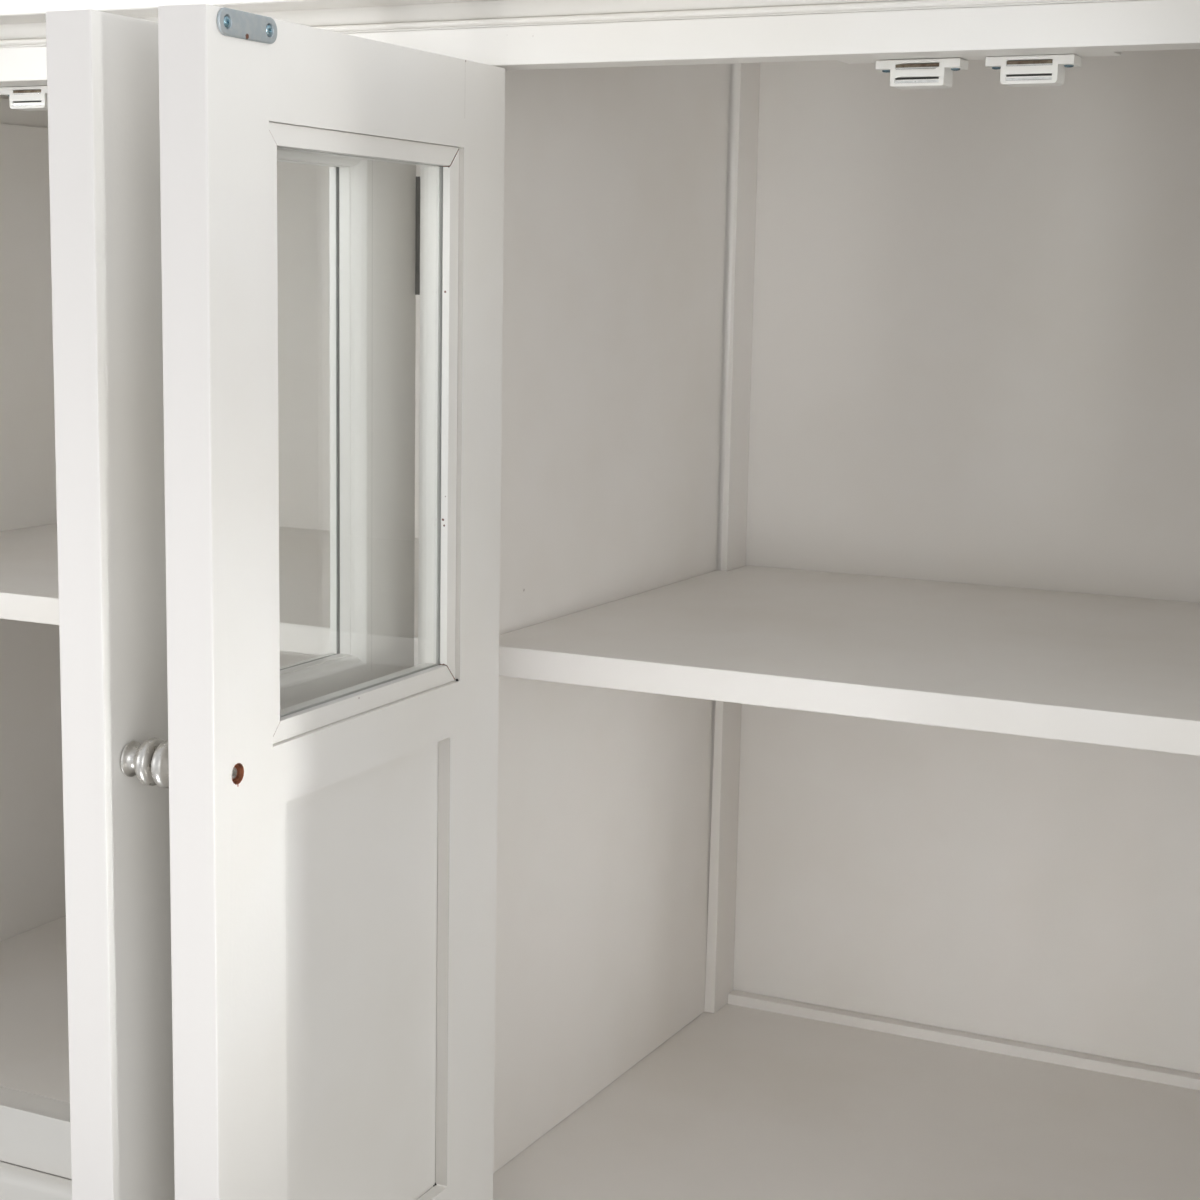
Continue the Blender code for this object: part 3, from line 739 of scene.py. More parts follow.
class Softened(Shape):
    """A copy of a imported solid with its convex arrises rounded."""

    def __init__(self, node: str, radius: float, shortest: float = 8 * MM) -> None:
        """Copy a node and round it.

        Args:
            node: Name of the node.
            radius: Radius of the arrises.
            shortest: Shorter edges stay as they are.
        """
        super().__init__()
        self.bm.from_mesh(frame["nodes"][node].data)
        bmesh.ops.remove_doubles(self.bm, verts=self.bm.verts, dist=0.02 * MM)
        bmesh.ops.dissolve_limit(
            self.bm, angle_limit=math.radians(0.5), verts=self.bm.verts, edges=self.bm.edges,
        )
        picked = [edge for edge in self.bm.edges if self._is_arris(edge, shortest)]
        if picked:
            self._round(picked, radius)

    @staticmethod
    def _is_arris(edge: bmesh.types.BMEdge, shortest: float, sharpest: float = 50.0) -> bool:
        """Tell whether an edge is a long convex one between two faces at a wide angle.

        Args:
            edge: The edge.
            shortest: Shorter edges don't count.
            sharpest: Least angle between the faces, in degrees.

        Returns:
            True for an arris.
        """
        if len(edge.link_faces) != 2 or edge.calc_length() < shortest:
            return False
        return edge.is_convex and edge.calc_face_angle() > math.radians(sharpest)


@dataclass(frozen=True)
class Finishes:
    """One material for each finish that several pieces share."""

    lacquer: bpy.types.Material
    inside: bpy.types.Material
    screw: bpy.types.Material
    blued: bpy.types.Material
    bright: bpy.types.Material
    pole: bpy.types.Material
    magnet: bpy.types.Material
    nickel: bpy.types.Material
    plastic: bpy.types.Material
    wood: bpy.types.Material
    glass: bpy.types.Material

    @staticmethod
    def knocks() -> tuple[Mark, ...]:
        """Place specks on the top rail, by the shelf and on the plinth.

        Returns:
            The marks of the carcass.
        """
        spots = (
            ((0.0560, -0.0910, 0.8034), 0.6, 0.15), ((0.0400, -0.0910, 0.8045), 0.5, 0.12),
            ((0.0040, 0.0033, 0.4862), 1.0, 0.5), ((0.3170, -0.0601, 0.4712), 0.6, 0.7),
            ((-0.2210, -0.1010, 0.0310), 1.2, 0.7), ((0.5630, -0.1010, 0.0170), 1.5, 0.8),
        )
        return tuple(Mark(at, radius * MM, strength) for at, radius, strength in spots)

    @classmethod
    def make(cls) -> "Finishes":
        """Build every shared material.

        Returns:
            The finishes.
        """
        return cls(
            lacquer=Lacquer("white_lacquer", blemishes=cls.knocks()).make(),
            # A lighter, warmer copy of the white lacquer for the inside boards: painted light standing in
            # for the warm bounce light there.
            inside=Lacquer("inside_lacquer_painted_light", (0.893, 0.856, 0.812), 0.315, cls.knocks()).make(),
            screw=Metal("blued_screw", (0.27, 0.44, 0.52), (0.44, 0.58, 0.64), 0.24, NO_GRAIN).make(),
            # A darker copy of the blued screw finish: painted shade for the catch screws, which face down.
            blued=Metal("shaded_blued_screw", (0.10, 0.17, 0.21), (0.22, 0.32, 0.37), 0.26, NO_GRAIN).make(),
            bright=Metal("bright_zinc", (0.80, 0.80, 0.78), (0.66, 0.66, 0.64), 0.28, NO_GRAIN).make(),
            pole=Metal("pole_steel", (0.24, 0.20, 0.15), (0.15, 0.11, 0.08), 0.45, (8.0, 1.0, 1.0)).make(),
            # Near-black: partly the catch's own dark core, partly painted shade in its slots.
            magnet=Plastic("ferrite_and_slot_shade", (0.020, 0.018, 0.016), 0.6).make(),
            nickel=Metal("satin_nickel", (0.66, 0.64, 0.61), (0.60, 0.58, 0.55), 0.27, NO_GRAIN).make(),
            plastic=Plastic("catch_plastic").make(),
            wood=Wood("bare_wood").make(),
            glass=Glass("float_glass").make(),
        )


@dataclass
class Carcass:
    """Posts, rails, boards, back, shelves, top and plinth."""

    finishes: Finishes
    arris: float = 0.7 * MM
    shelf_arris: float = 0.9 * MM
    top_arris: float = 0.8 * MM
    outside: tuple[str, ...] = (
        "face_frame", "front_post_left", "front_post_right", "side_frame_left", "side_frame_right",
        "plinth", "top_edging",
    )
    inside: tuple[str, ...] = (
        "rear_post_left", "rear_post_right", "partition", "floor_board", "back_panel",
    )
    shelves: tuple[str, ...] = ("shelf_left", "shelf_right")

    def build(self) -> None:
        """Round the arrises of every board and lacquer it."""
        for node in self.outside:
            self._soften(node, self.arris, self.finishes.lacquer)
        for node in self.inside:
            self._soften(node, self.arris, self.finishes.inside)
        for node in self.shelves:
            self._soften(node, self.shelf_arris, self.finishes.inside)
        self._soften("table_top", self.top_arris, self.finishes.lacquer)

    @staticmethod
    def _soften(node: str, radius: float, material: bpy.types.Material) -> None:
        """Replace one node by its softened copy."""
        board = Softened(node, radius)
        board.done(f"{node}_lacquered", Body.CARCASS, Slot.LACQUER, [material], [node])


@dataclass
class Cornice:
    """Quirk, bead and ovolo mitred round three sides under the top."""

    finishes: Finishes
    bead: float = 1.8 * MM
    quirk: float = 1.1 * MM
    ovolo: float = 6.0 * MM
    fillet: float = 1.6 * MM
    seat: float = 0.25 * MM
    behind: float = 25 * MM
    groove: float = 0.8 * MM
    arc_steps: int = 16

    def profile(self, low: float, high: float, bead_low: float, inner: float) -> Section:
        """Out and height of the section.

        Args:
            low: Height of its lower face.
            high: Height of its upper face.
            bead_low: Height where the bead starts.
            inner: How far the moulding reaches in behind the front.

        Returns:
            The points of the section.
        """
        points = [(inner, low), (-self.quirk, low), (-self.quirk, bead_low)]
        for step in range(1, self.arc_steps):
            angle = math.radians(-90 + 180 * step / self.arc_steps)
            out = self.bead * math.cos(angle) - self.quirk
            points.append((out, bead_low + self.bead * (1 + math.sin(angle))))
        top = bead_low + 2 * self.bead
        points.append((-self.quirk, top))
        rise = high - self.fillet - top
        for step in range(1, self.arc_steps + 1):
            angle = math.radians(90 * step / self.arc_steps)
            out = self.ovolo * math.sin(angle) - self.quirk
            points.append((out, top + rise * (1 - math.cos(angle))))
        return points + [(self.ovolo - self.quirk, high), (inner, high)]

    def build(self) -> None:
        """Sweep the section round both sides and the front."""
        low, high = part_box("cornice_moulding")
        out = self.ovolo - self.quirk
        left, right, front, rear = low.x + out, high.x - out, low.y + out, high.y
        points = self.profile(low.z, high.z + self.seat, low.z + self.groove, -self.behind)
        stops = ((left, rear, -1, 0), (left, front, -1, -1), (right, front, 1, -1), (right, rear, 1, 0))
        shape = Shape()
        shape.loft([[(x + a * w, y + b * w, z) for w, z in points] for x, y, a, b in stops])
        shape.done("cornice", Body.CARCASS, Slot.LACQUER, [self.finishes.lacquer], ["cornice_moulding"])


@dataclass
class Hinge:
    """The places of one door, measured from its hinge edge, outer face and top."""

    pin: Vector
    side: int
    angle: float
    height: float
    pin_u: float = 0.75 * MM
    ahead: float = 2.8 * MM

    @classmethod
    def of(cls, number: int, height: float) -> "Hinge":
        """Read the pin and the open angle of a door from the frame.

        Args:
            number: Door number, counted from the left.
            height: Height of the door.

        Returns:
            The door's hinge line.
        """
        joint = next(j for j in frame["joints"] if j["child"] == f"door_{number}")
        side = round(-joint["axis"][2])
        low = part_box(f"door_{number}_frame")[0]
        pin = Vector((joint["pos_m"][0], joint["pos_m"][1], low.z))
        return cls(pin, side, -math.radians(joint["range_deg"][0]), height)

    def matrix(self, share: float = 1.0) -> Matrix:
        """Turn door places, as u, n and height above the door's bottom, into the frame's.

        Args:
            share: How far the door stands open, from 0 to 1 for the stored angle.

        Returns:
            The matrix that does it.
        """
        mirror = Matrix.Diagonal((self.side, 1, 1, 1))
        shift = Matrix.Translation((self.pin_u, self.ahead, 0))
        turn = Matrix.Rotation(-self.side * self.angle * share, 4, "Z")
        return Matrix.Translation(self.pin) @ turn @ mirror @ shift

    def shut(self) -> Matrix:
        """The same for the closed door."""
        return self.matrix(0.0)

    def out(self) -> Vector:
        """The way out of the open door's outer face."""
        return (self.matrix().to_3x3() @ Vector((0, -1, 0))).normalized()

    def point(self, u: float, n: float, t: float) -> Vector:
        """A place u from the hinge edge, n behind the outer face and t below the top."""
        return self.matrix() @ Vector((u, n, self.height - t))


def circle(radius: float, level: float, steps: int = 32, at: Point = (0.0, 0.0)) -> list[Point]:
    """Points of a circle that faces up at one level."""
    turns = [math.tau * step / steps for step in range(steps)]
    return [(at[0] + radius * math.cos(turn), at[1] + radius * math.sin(turn), level) for turn in turns]


def stadium(length: float, height: float, shrink: float, level: float, steps: int = 14) -> list[Point]:
    """Find the points of a rectangle with half-round ends.

    Args:
        length: Its whole length.
        height: Its height, twice the radius of its ends.
        shrink: Margin that it loses all round.
        level: Height of the points.
        steps: Steps of each end.

    Returns:
        The points, in order.
    """
    radius, half = height / 2 - shrink, (length - height) / 2
    points = []
    for way, start in ((1, -90), (-1, 90)):
        for step in range(steps + 1):
            angle = math.radians(start + 180 * step / steps)
            points.append((way * half + radius * math.cos(angle), radius * math.sin(angle), level))
    return points


def smoothed(points: Section, steps: int = 5) -> Section:
    """Draw a smooth curve through points.

    Args:
        points: The points, as radii and heights.
        steps: Steps from each point to the next.

    Returns:
        The points of the curve.
    """
    padded = [points[0], *points, points[-1]]
    curve = []
    for before, start, end, after in zip(padded, padded[1:], padded[2:], padded[3:]):
        for step in range(steps):
            t = step / steps
            curve.append(tuple(
                b + 0.5 * t * (c - a + t * (2 * a - 5 * b + 4 * c - d + t * (3 * b - a - 3 * c + d)))
                for a, b, c, d in zip(before, start, end, after)
            ))
    return curve + [points[-1]]


@dataclass(frozen=True)
class Screw:
    """The head of a cross-head screw. Its rim is at level 0 and it faces up."""

    radius: float
    rise: float
    sunk: float = 0.8 * MM
    reach: float = 0.56
    arm: float = 0.15
    depth: float = 0.9 * MM

    def cross(self, share: float, level: float) -> list[Point]:
        """Draw the outline of the recess at one level.

        Args:
            share: Its size as a part of the full size.
            level: Height of the points.

        Returns:
            The twelve corners of the cross.
        """
        long, half = self.radius * self.reach * share, self.radius * self.arm * share
        arm = [(half, long), (-half, long), (-half, half)]
        points = []
        for _ in range(4):
            points += [(x, y, level) for x, y in arm]
            arm = [(-y, x) for x, y in arm]
        return points

    def add(self, shape: Shape, place: Matrix) -> None:
        """Add the head to a shape.

        Args:
            shape: The shape that takes it.
            place: Puts the rim's centre and turns the head to face the right way.
        """
        head = Shape()
        dome = ((1.0, 0.0), (0.96, 0.3), (0.84, 0.75), (0.66, 1.0))
        rim = [(1.0, -self.sunk)] + [(share, part * self.rise) for share, part in dome]
        rings = head.walls([circle(self.radius * share, level) for share, level in rim])
        recess = head.walls([self.cross(1.0, self.rise), self.cross(0.7, self.rise - self.depth)])
        head.fill(rings[-1], recess[0])
        head.fill(recess[-1])
        head.fill(rings[0])
        bmesh.ops.recalc_face_normals(head.bm, faces=head.bm.faces)
        shape.take(head, place)


@dataclass
class Catches:
    """Four magnetic catches with steel pole strips and their screws."""

    finishes: Finishes
    soft: float = 0.8 * MM
    screw_from_middle: float = 18.2 * MM
    screw_behind: float = 6.5 * MM
    ear_height: float = 4.9 * MM
    slot_width: float = 23.2 * MM
    slot_height: float = 2.9 * MM
    slot_drops: tuple[float, ...] = (2.2 * MM, 9.1 * MM)
    slot_play: float = 0.1 * MM
    slot_depth: float = 12 * MM
    pole_strip: tuple[int, float, float] = (0, 1.15 * MM, 1.7 * MM)
    bright_strips: tuple[tuple[int, float, float], ...] = (
        (0, 0.5 * MM, 0.5 * MM), (1, 0.45 * MM, 1.0 * MM),
    )
    screw: Screw = Screw(2.4 * MM, 0.6 * MM, 0.5 * MM)
    screw_turn: float = 0.5

    def build(self) -> None:
        """Make the catches under the top rail."""
        for number in (1, 2, 3, 4):
            node = f"catch_{number}"
            low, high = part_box(node)
            case = Softened(node, self.soft, 3 * MM)
            case.done(f"{node}_case", Body.CARCASS, Slot.PLASTIC, [self.finishes.plastic], [node])
            middle = (low.x + high.x) / 2
            self._poles(node, middle, low.y, high.z)
            self._screws(node, middle, low.y, high.z)

    def _poles(self, node: str, middle: float, front: float, top: float) -> None:
        """Draw near-black blocks that fill the slots, partly the catch's dark core and partly painted
        shade in the slots, with a dull strip and two bright ones before them.

        Args:
            node: Name of the catch.
            middle: Its middle from left to right.
            front: Its front.
            top: Its top.
        """
        half = self.slot_width / 2 - self.slot_play
        filled = self.slot_height - self.slot_play
        filling = [(slot, self.slot_play / 2, filled) for slot in range(len(self.slot_drops))]
        layers = (
            ("magnets", Slot.PLASTIC, self.finishes.magnet, filling, 1.0 * MM),
            ("pole_strip", Slot.ZINC, self.finishes.pole, [self.pole_strip], 0.45 * MM),
            ("bright_strips", Slot.ZINC, self.finishes.bright, self.bright_strips, 0.35 * MM),
        )
        for name, slot_name, material, pieces, behind in layers:
            shape = Shape()
            for slot, lift, height in pieces:
                foot = top - self.slot_drops[slot] - self.slot_height + lift
                low = (middle - half, front + behind, foot)
                high = (middle + half, front + self.slot_depth, foot + height)
                shape.box(low, high, 0.08 * MM)
            shape.done(f"{node}_{name}", Body.CARCASS, slot_name, [material])

    def _screws(self, node: str, middle: float, front: float, top: float) -> None:
        """Draw the screws that hold the ears, heads down.

        Args:
            node: Name of the catch.
            middle: Its middle from left to right.
            front: Its front.
            top: Its top.
        """
        shape = Shape()
        for way in (-1, 1):
            across = middle + way * self.screw_from_middle
            at = Matrix.Translation((across, front + self.screw_behind, top - self.ear_height))
            turn = Matrix.Rotation(math.pi, 4, "X") @ Matrix.Rotation(self.screw_turn * way, 4, "Z")
            self.screw.add(shape, at @ turn)
        # The catch screws take the darker copy of the blued finish: painted shade.
        shape.done(f"{node}_screws", Body.CARCASS, Slot.ZINC, [self.finishes.blued])


@dataclass
class Door:
    """A half-glazed door with its panel, pane, glazing bead and fittings.

    Its spots are knocks and spots of painted shade: places as u, n and t, then the radius, all in
    millimetres, and where they aren't plain also the strength and the colour.
    """

    finishes: Finishes
    number: int = 1
    spots: tuple[tuple[Any, ...], ...] = ()
    mitre_gaps: tuple[float, ...] = (0.08 * MM, 0.08 * MM, 0.08 * MM, 0.08 * MM)
    # Lines of painted shade down the recess walls by the panel and the glass.
    shaded_corners: tuple[tuple[float, ...], ...] = (
        (57.5, 22.0, 359.0, 257.0), (218.5, 22.0, 359.0, 257.0), (47.0, 24.0, 45.0, 284.0),
    )
    arris: float = 0.55 * MM
    width: float = 276 * MM
    thick: float = 25 * MM
    stile: float = 57.5 * MM
    glass_top: float = 55 * MM
    glass_bottom: float = 318.6 * MM
    rabbet: float = 10.5 * MM
    bead_width: float = 10.0 * MM
    bead_below: float = 2.5 * MM
    glass_below: float = 7.5 * MM
    play: float = 0.3 * MM
    seat: float = 0.15 * MM
    plate_from_edge: float = 7.3 * MM
    plate_length: float = 44.8 * MM
    plate_height: float = 11.5 * MM
    plate_thick: float = 1.2 * MM
    plate_hole: float = 3.1 * MM
    plate_holes_apart: float = 32 * MM
    knob_from_edge: float = 18.3 * MM
    knob_below_top: float = 335.8 * MM
    bore: float = 5.0 * MM
    bore_depth: float = 6.0 * MM
    knob_profile: tuple[tuple[float, float], ...] = (
        (7.8, 0.3), (8.4, 1.5), (6.0, 3.1), (4.6, 5.5), (6.0, 8.1), (10.0, 10.3), (11.2, 12.7),
        (10.4, 15.3), (6.2, 16.9), (0.0, 17.4),
    )
    plate_rounding: float = 0.55 * MM
    plate_screw: Screw = Screw(2.35 * MM, 0.5 * MM, 0.6 * MM)
    knob_screw: Screw = Screw(3.2 * MM, 1.7 * MM, 2.2 * MM, depth=1.3 * MM)
    knob_screw_below: float = 3.5 * MM
    plate_screw_drop: float = 0.5 * MM
    countersink: tuple[tuple[float, float], ...] = (
        (0.0, 0.0), (0.12 * MM, 0.15 * MM), (0.3 * MM, 0.6 * MM), (0.6 * MM, plate_thick),
    )
    mark_reach: float = 1.4
    bare_and_painted_dark_side: tuple[float, float] = (-0.896, 0.443)
    knuckles: int = 5
    barrel: float = 2.5 * MM
    moving_faces: tuple[float, float] = (-0.3 * MM, 0.9 * MM)
    fixed_faces: tuple[float, float] = (-1.2 * MM, -2.4 * MM)
    leaf_width: float = 15 * MM
    leaf_screws: tuple[float, ...] = (0.17, 0.5, 0.83)
    leaf_screws_behind: float = 8.5 * MM
    leaf_screw: Screw = Screw(2.4 * MM, 0.12 * MM, 0.5 * MM)
    hinge: Hinge = field(init=False)

    def __post_init__(self) -> None:
        """Find the hinge line and mix the door's own finishes."""
        low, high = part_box(f"{self.name}_frame")
        self.hinge = Hinge.of(self.number, high.z - low.z)
        blemishes = self.blemishes()
        self.lacquer = Lacquer(f"{self.name}_lacquer", blemishes=blemishes).make()
        # The bead's lacquer also carries a line of painted shade along the glass.
        blemishes += (self._painted_glass_shade(),)
        self.bead_lacquer = Lacquer(f"{self.name}_bead_lacquer", blemishes=blemishes).make()
        self.plate_finish = self._plate_metal().make()
        self.hinge_finish = PaintedSteel(f"{self.name}_hinge_steel", self._bare_and_painted_dark_steel()).make()

    @property
    def name(self) -> str:
        """The name that the door's nodes start with."""
        return f"door_{self.number}"

    @property
    def body(self) -> Body:
        """The body that the door's pieces ride on."""
        return Body(self.name)

    def mark(self, u: float, n: float, t: float, radius: float, strength: float = 1.0,
             colour: Colour = BARE_WOOD, ragged: float = 1.0) -> Mark:
        """Place a mark on this door.

        Args:
            u: Millimetres from the hinge edge.
            n: Millimetres behind the outer face.
            t: Millimetres below the top.
            radius: Radius in millimetres.
            strength: How far it hides the lacquer.
            colour: What shows there.
            ragged: How uneven its edge is.

        Returns:
            The mark.
        """
        at = tuple(self.hinge.point(u * MM, n * MM, t * MM))
        return Mark(at, radius * self.mark_reach * MM, strength, colour, ragged)

    def across(self) -> Place:
        """The way from the hinge edge to the free edge."""
        return tuple((self.hinge.point(1.0, 0.0, 0.0) - self.hinge.point(0.0, 0.0, 0.0)).normalized())

    def corner(self, u: float, n: float, t: float, long: float) -> Seam:
        """A line of painted shade that runs down a recess corner from a place, in millimetres."""
        at = tuple(self.hinge.point(u * MM, n * MM, t * MM))
        return Seam(at, self.across(), DOWN, long * MM, 0.25 * MM, 0.62, PAINTED_CORNER_SHADE, False)

    def _free_edge(self) -> Seam:
        """Painted shade all down the free edge."""
        top = tuple(self.hinge.point(self.width, self.thick, 0.0))
        return Seam(top, self.across(), DOWN, self.hinge.height, 0.5 * MM, 1.0, PAINTED_EDGE_SHADE, False, 0.5)

    def _painted_glass_shade(self) -> Seam:
        """Draw a line of painted shade where the bead meets the glass.

        Returns:
            The line, for the bead's lacquer.
        """
        n = self.thick - self.glass_below + 0.45 * MM
        at = tuple(self.hinge.point(0.0, n, self.glass_top))
        inward = tuple(-self.hinge.out())
        return Seam(at, inward, self.across(), self.width, 0.5 * MM, 0.85, PAINTED_GLASS_SHADE, False)

    def blemishes(self) -> Blemishes:
        """Painted shade in the recess corners and down the free edge, then the knocks."""
        return (*(self.corner(*place) for place in self.shaded_corners), self._free_edge(), *self.knocks())

    def knocks(self) -> Blemishes:
        """The knocks and open joints in this door's lacquer, and any painted shade in its gaps."""
        return tuple(self.mark(*spot) for spot in self.spots)

    def plate_spots(self) -> list[tuple[float, float]]:
        """Find the strike plate's holes.

        Returns:
            Their distances from the hinge edge and from the top.
        """
        middle = self.width - self.plate_from_edge - self.plate_length / 2
        half = self.plate_holes_apart / 2
        return [(middle - half, self.plate_height / 2), (middle + half, self.plate_height / 2)]

    def _plate_metal(self) -> Metal:
        """Mix blued zinc with painted shade inside the screw holes.

        Returns:
            The strike plate's metal.
        """
        above = self.thick / MM + 0.9
        spots = self.plate_spots()
        # Painted shade on the walls of the screw holes.
        dark = [self.mark(u / MM, above, t / MM, 2.2, 0.9, PAINTED_HOLE_SHADE, 0.0) for u, t in spots]
        blue, grey = (0.50, 0.56, 0.60), (0.58, 0.62, 0.64)
        blemishes = (*dark, *self.plate_rust())
        return Metal(f"{self.name}_plate_zinc", blue, grey, 0.36, blemishes=blemishes)

    def plate_rust(self) -> tuple[Mark, ...]:
        """Where the strike plate has rusted."""
        return ()

    def _bare_painted_dark(self, at: Point, aside: Vector, length: float, width: float) -> Seam:
        """Draw a stretch of hinge barrel that has lost its lacquer and carries a painted dark reflection.

        Args:
            at: Its upper end.
            aside: The way across it.
            length: How far down it goes.
            width: Half its width.

        Returns:
            The bare stretch.
        """
        return Seam(
            tuple(at), tuple(aside), DOWN, length, width, 1.0, broken=False, core=0.9, ragged=0.5 * MM,
        )

    def _bare_and_painted_dark_steel(self) -> Blemishes:
        """Find where the hinges are bare and carry a painted dark reflection: a line down each barrel, and
        its upper end.

        Returns:
            The bare places.
        """
        pin, height = self.hinge.pin, self.hinge.height
        aside = Vector((self.bare_and_painted_dark_side[0] * self.hinge.side, self.bare_and_painted_dark_side[1], 0.0)).normalized()
        edge = pin - aside * self.barrel + Vector((0, 0, height))
        spots: list[Union[Mark, Seam]] = [self._bare_painted_dark(edge, aside, height, 2.1 * MM)]
        for spot in ("lower", "upper"):
            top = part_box(f"{self.name}_leaf_{spot}")[1].z
            spots.append(self._bare_painted_dark((pin.x, pin.y, top), aside, 10.5 * MM, 3.2 * MM))
            spots.append(Mark((edge.x, edge.y, top - 11.5 * MM), 3.4 * MM, 1.0, ragged=0.4))
        return tuple(spots)

    def build(self) -> None:
        """Make every piece of the door."""
        node = f"{self.name}_frame"
        shape = Softened(node, self.arris)
        shape.done(f"{node}_lacquered", self.body, Slot.LACQUER, [self.lacquer], [node])
        self._paint("panel", self.lacquer)
        self._paint("glass", self.finishes.glass)
        self._bead()
        self._knob()
        self._counterbore()
        self._strike_plate()
        for spot in ("lower", "upper"):
            self._leaf(spot, moving=True)
            self._leaf(spot, moving=False)

    def _paint(self, part: str, material: bpy.types.Material) -> None:
        """Give a node's own mesh a material.

        Args:
            part: The node's name without the door's.
            material: Its material.
        """
        node = f"{self.name}_{part}"
        mesh = frame["nodes"][node].data
        mesh.materials.clear()
        mesh.materials.append(material)
        LOG.info("%s on %s", node, self.body.value)

    def _finish(self, shape: Shape, name: str, slot: Slot, materials: Sequence[bpy.types.Material],
                replaces: Iterable[str] = ()) -> None:
        """Turn a shape made in door places to the open door and make its piece.

        Args:
            shape: The shape.
            name: Name of the piece without the door's.
            slot: Its material slot in the record.
            materials: The materials that its faces use.
            replaces: Nodes that it stands for, without the door's name.
        """
        shape.move(self.hinge.matrix())
        replaced = [f"{self.name}_{part}" for part in replaces]
        shape.done(f"{self.name}_{name}", self.body, slot, materials, replaced)

    def _inward(self, u: float, n: float, t: float) -> Matrix:
        """Place a shape that faces up so that it faces out of the door's inner side."""
        turn = Matrix.Rotation(math.radians(-90), 4, "X")
        return Matrix.Translation((u, n, self.hinge.height - t)) @ turn

    def _bead(self) -> None:
        """Four mitred strips that hold the glass, each a closed shape."""
        shape = Shape()
        grow = self.rabbet - self.seat
        half_w = self.width / 2 - self.stile + grow
        top, bottom = self.glass_top - grow, self.glass_bottom + grow
        half_h = (bottom - top) / 2
        centre = Matrix.Translation((self.width / 2, 0, self.hinge.height - (top + bottom) / 2))
        for turn, (long, reach) in enumerate(((half_w, half_h), (half_h, half_w)) * 2):
            gaps = (self.mitre_gaps[turn - 1], self.mitre_gaps[turn])
            strip = self._strip(long, reach, gaps)
            shape.take(strip, centre @ Matrix.Rotation(math.radians(90 * turn), 4, "Y"))
        bmesh.ops.recalc_face_normals(shape.bm, faces=shape.bm.faces)
        materials = [self.bead_lacquer, self.finishes.wood]
        self._finish(shape, "glazing_bead", Slot.LACQUER, materials, ["bead"])

    def _strip(self, long: float, reach: float, gaps: tuple[float, float]) -> Shape:
        """One strip of the bead, mitred at both ends.

        Args:
            long: Half its length.
            reach: How far its outer side is from the pane's middle.
            gaps: How far each mitre falls short of the corner.

        Returns:
            The strip, along X.
        """
        strip = Shape()
        low, high = self.thick - self.glass_below + self.play, self.thick - self.bead_below
        strip.box((-long, low, reach - self.bead_width), (long, high, reach), self.arris)
        for way, gap in zip((-1, 1), gaps):
            bm = strip.bm
            cut = bmesh.ops.bisect_plane(
                bm, geom=list(bm.verts) + list(bm.edges) + list(bm.faces), clear_outer=True,
                plane_co=(way * (long - gap), 0, reach), plane_no=Vector((way, 0, -1)).normalized(),
            )["geom_cut"]
            edges = [item for item in cut if isinstance(item, bmesh.types.BMEdge)]
            for cap in bmesh.ops.contextual_create(bm, geom=edges)["faces"]:
                cap.material_index = 1
        return strip

    def _knob(self) -> None:
        """The turned knob on the outer side."""
        shape = Shape()
        profile = [(radius * MM, rise * MM) for radius, rise in self.knob_profile]
        profile = [(0.0, profile[0][1])] + smoothed(profile)
        at = (self.width - self.knob_from_edge, 0, self.hinge.height - self.knob_below_top)
        outward = Matrix.Translation(at) @ Matrix.Rotation(math.radians(90), 4, "X")
        shape.turned(profile, 48, outward)
        self._finish(shape, "knob_turned", Slot.NICKEL, [self.finishes.nickel], ["knob"])

    def _counterbore(self) -> None:
        """Bare wood round the knob's screw, and the screw."""
        place = self._inward(self.width - self.knob_from_edge, self.thick, self.knob_below_top)
        cup = Shape()
        rim, floor, thin = -0.03 * MM, -self.bore_depth + 0.1 * MM, 0.3 * MM
        profile = [
            (0.0, floor), (self.bore - thin, floor), (self.bore - thin, rim), (self.bore, rim),
            (self.bore, floor - thin), (0.0, floor - thin),
        ]
        cup.turned(profile, 48, place)
        self._finish(cup, "counterbore", Slot.LACQUER, [self.finishes.wood])
        screw = Shape()
        sunk = Matrix.Translation((0, 0, -self.knob_screw_below))
        self.knob_screw.add(screw, place @ sunk @ Matrix.Rotation(0.4, 4, "Z"))
        self._finish(screw, "knob_screw", Slot.ZINC, [self.finishes.bright])

    def _strike_plate(self) -> None:
        """The round-ended plate with its two screws in open holes."""
        middle = self.width - self.plate_from_edge - self.plate_length / 2
        place = self._inward(middle, self.thick + self.play, self.plate_height / 2)
        size, face, soft = (self.plate_length, self.plate_height), self.plate_thick, self.plate_rounding
        plate = Shape()
        levels = [(0.0, 0.0)]
        for step in range(5):
            angle = math.radians(22.5 * step)
            levels.append((soft * (1 - math.cos(angle)), face - soft * (1 - math.sin(angle))))
        rings = plate.walls([stadium(*size, shrink, level) for shrink, level in levels])
        screws, holes = Shape(), []
        for way in (-1, 1):
            at = (way * self.plate_holes_apart / 2, 0.0)
            holes.append(plate.walls([
                circle(self.plate_hole - inside, face - drop, 32, at) for inside, drop in self.countersink
            ]))
            sunk = Matrix.Translation((*at, face - self.plate_screw_drop))
            turn = Matrix.Rotation(0.3 + 0.5 * way, 4, "Z")
            self.plate_screw.add(screws, place @ sunk @ turn)
        plate.fill(rings[-1], *(hole[0] for hole in holes))
        plate.fill(rings[0], *(hole[-1] for hole in holes))
        bmesh.ops.recalc_face_normals(plate.bm, faces=plate.bm.faces)
        plate.move(place)
        self._finish(plate, "strike_plate_drilled", Slot.ZINC, [self.plate_finish], ["strike_plate"])
        self._finish(screws, "strike_plate_screws", Slot.ZINC, [self.finishes.screw])

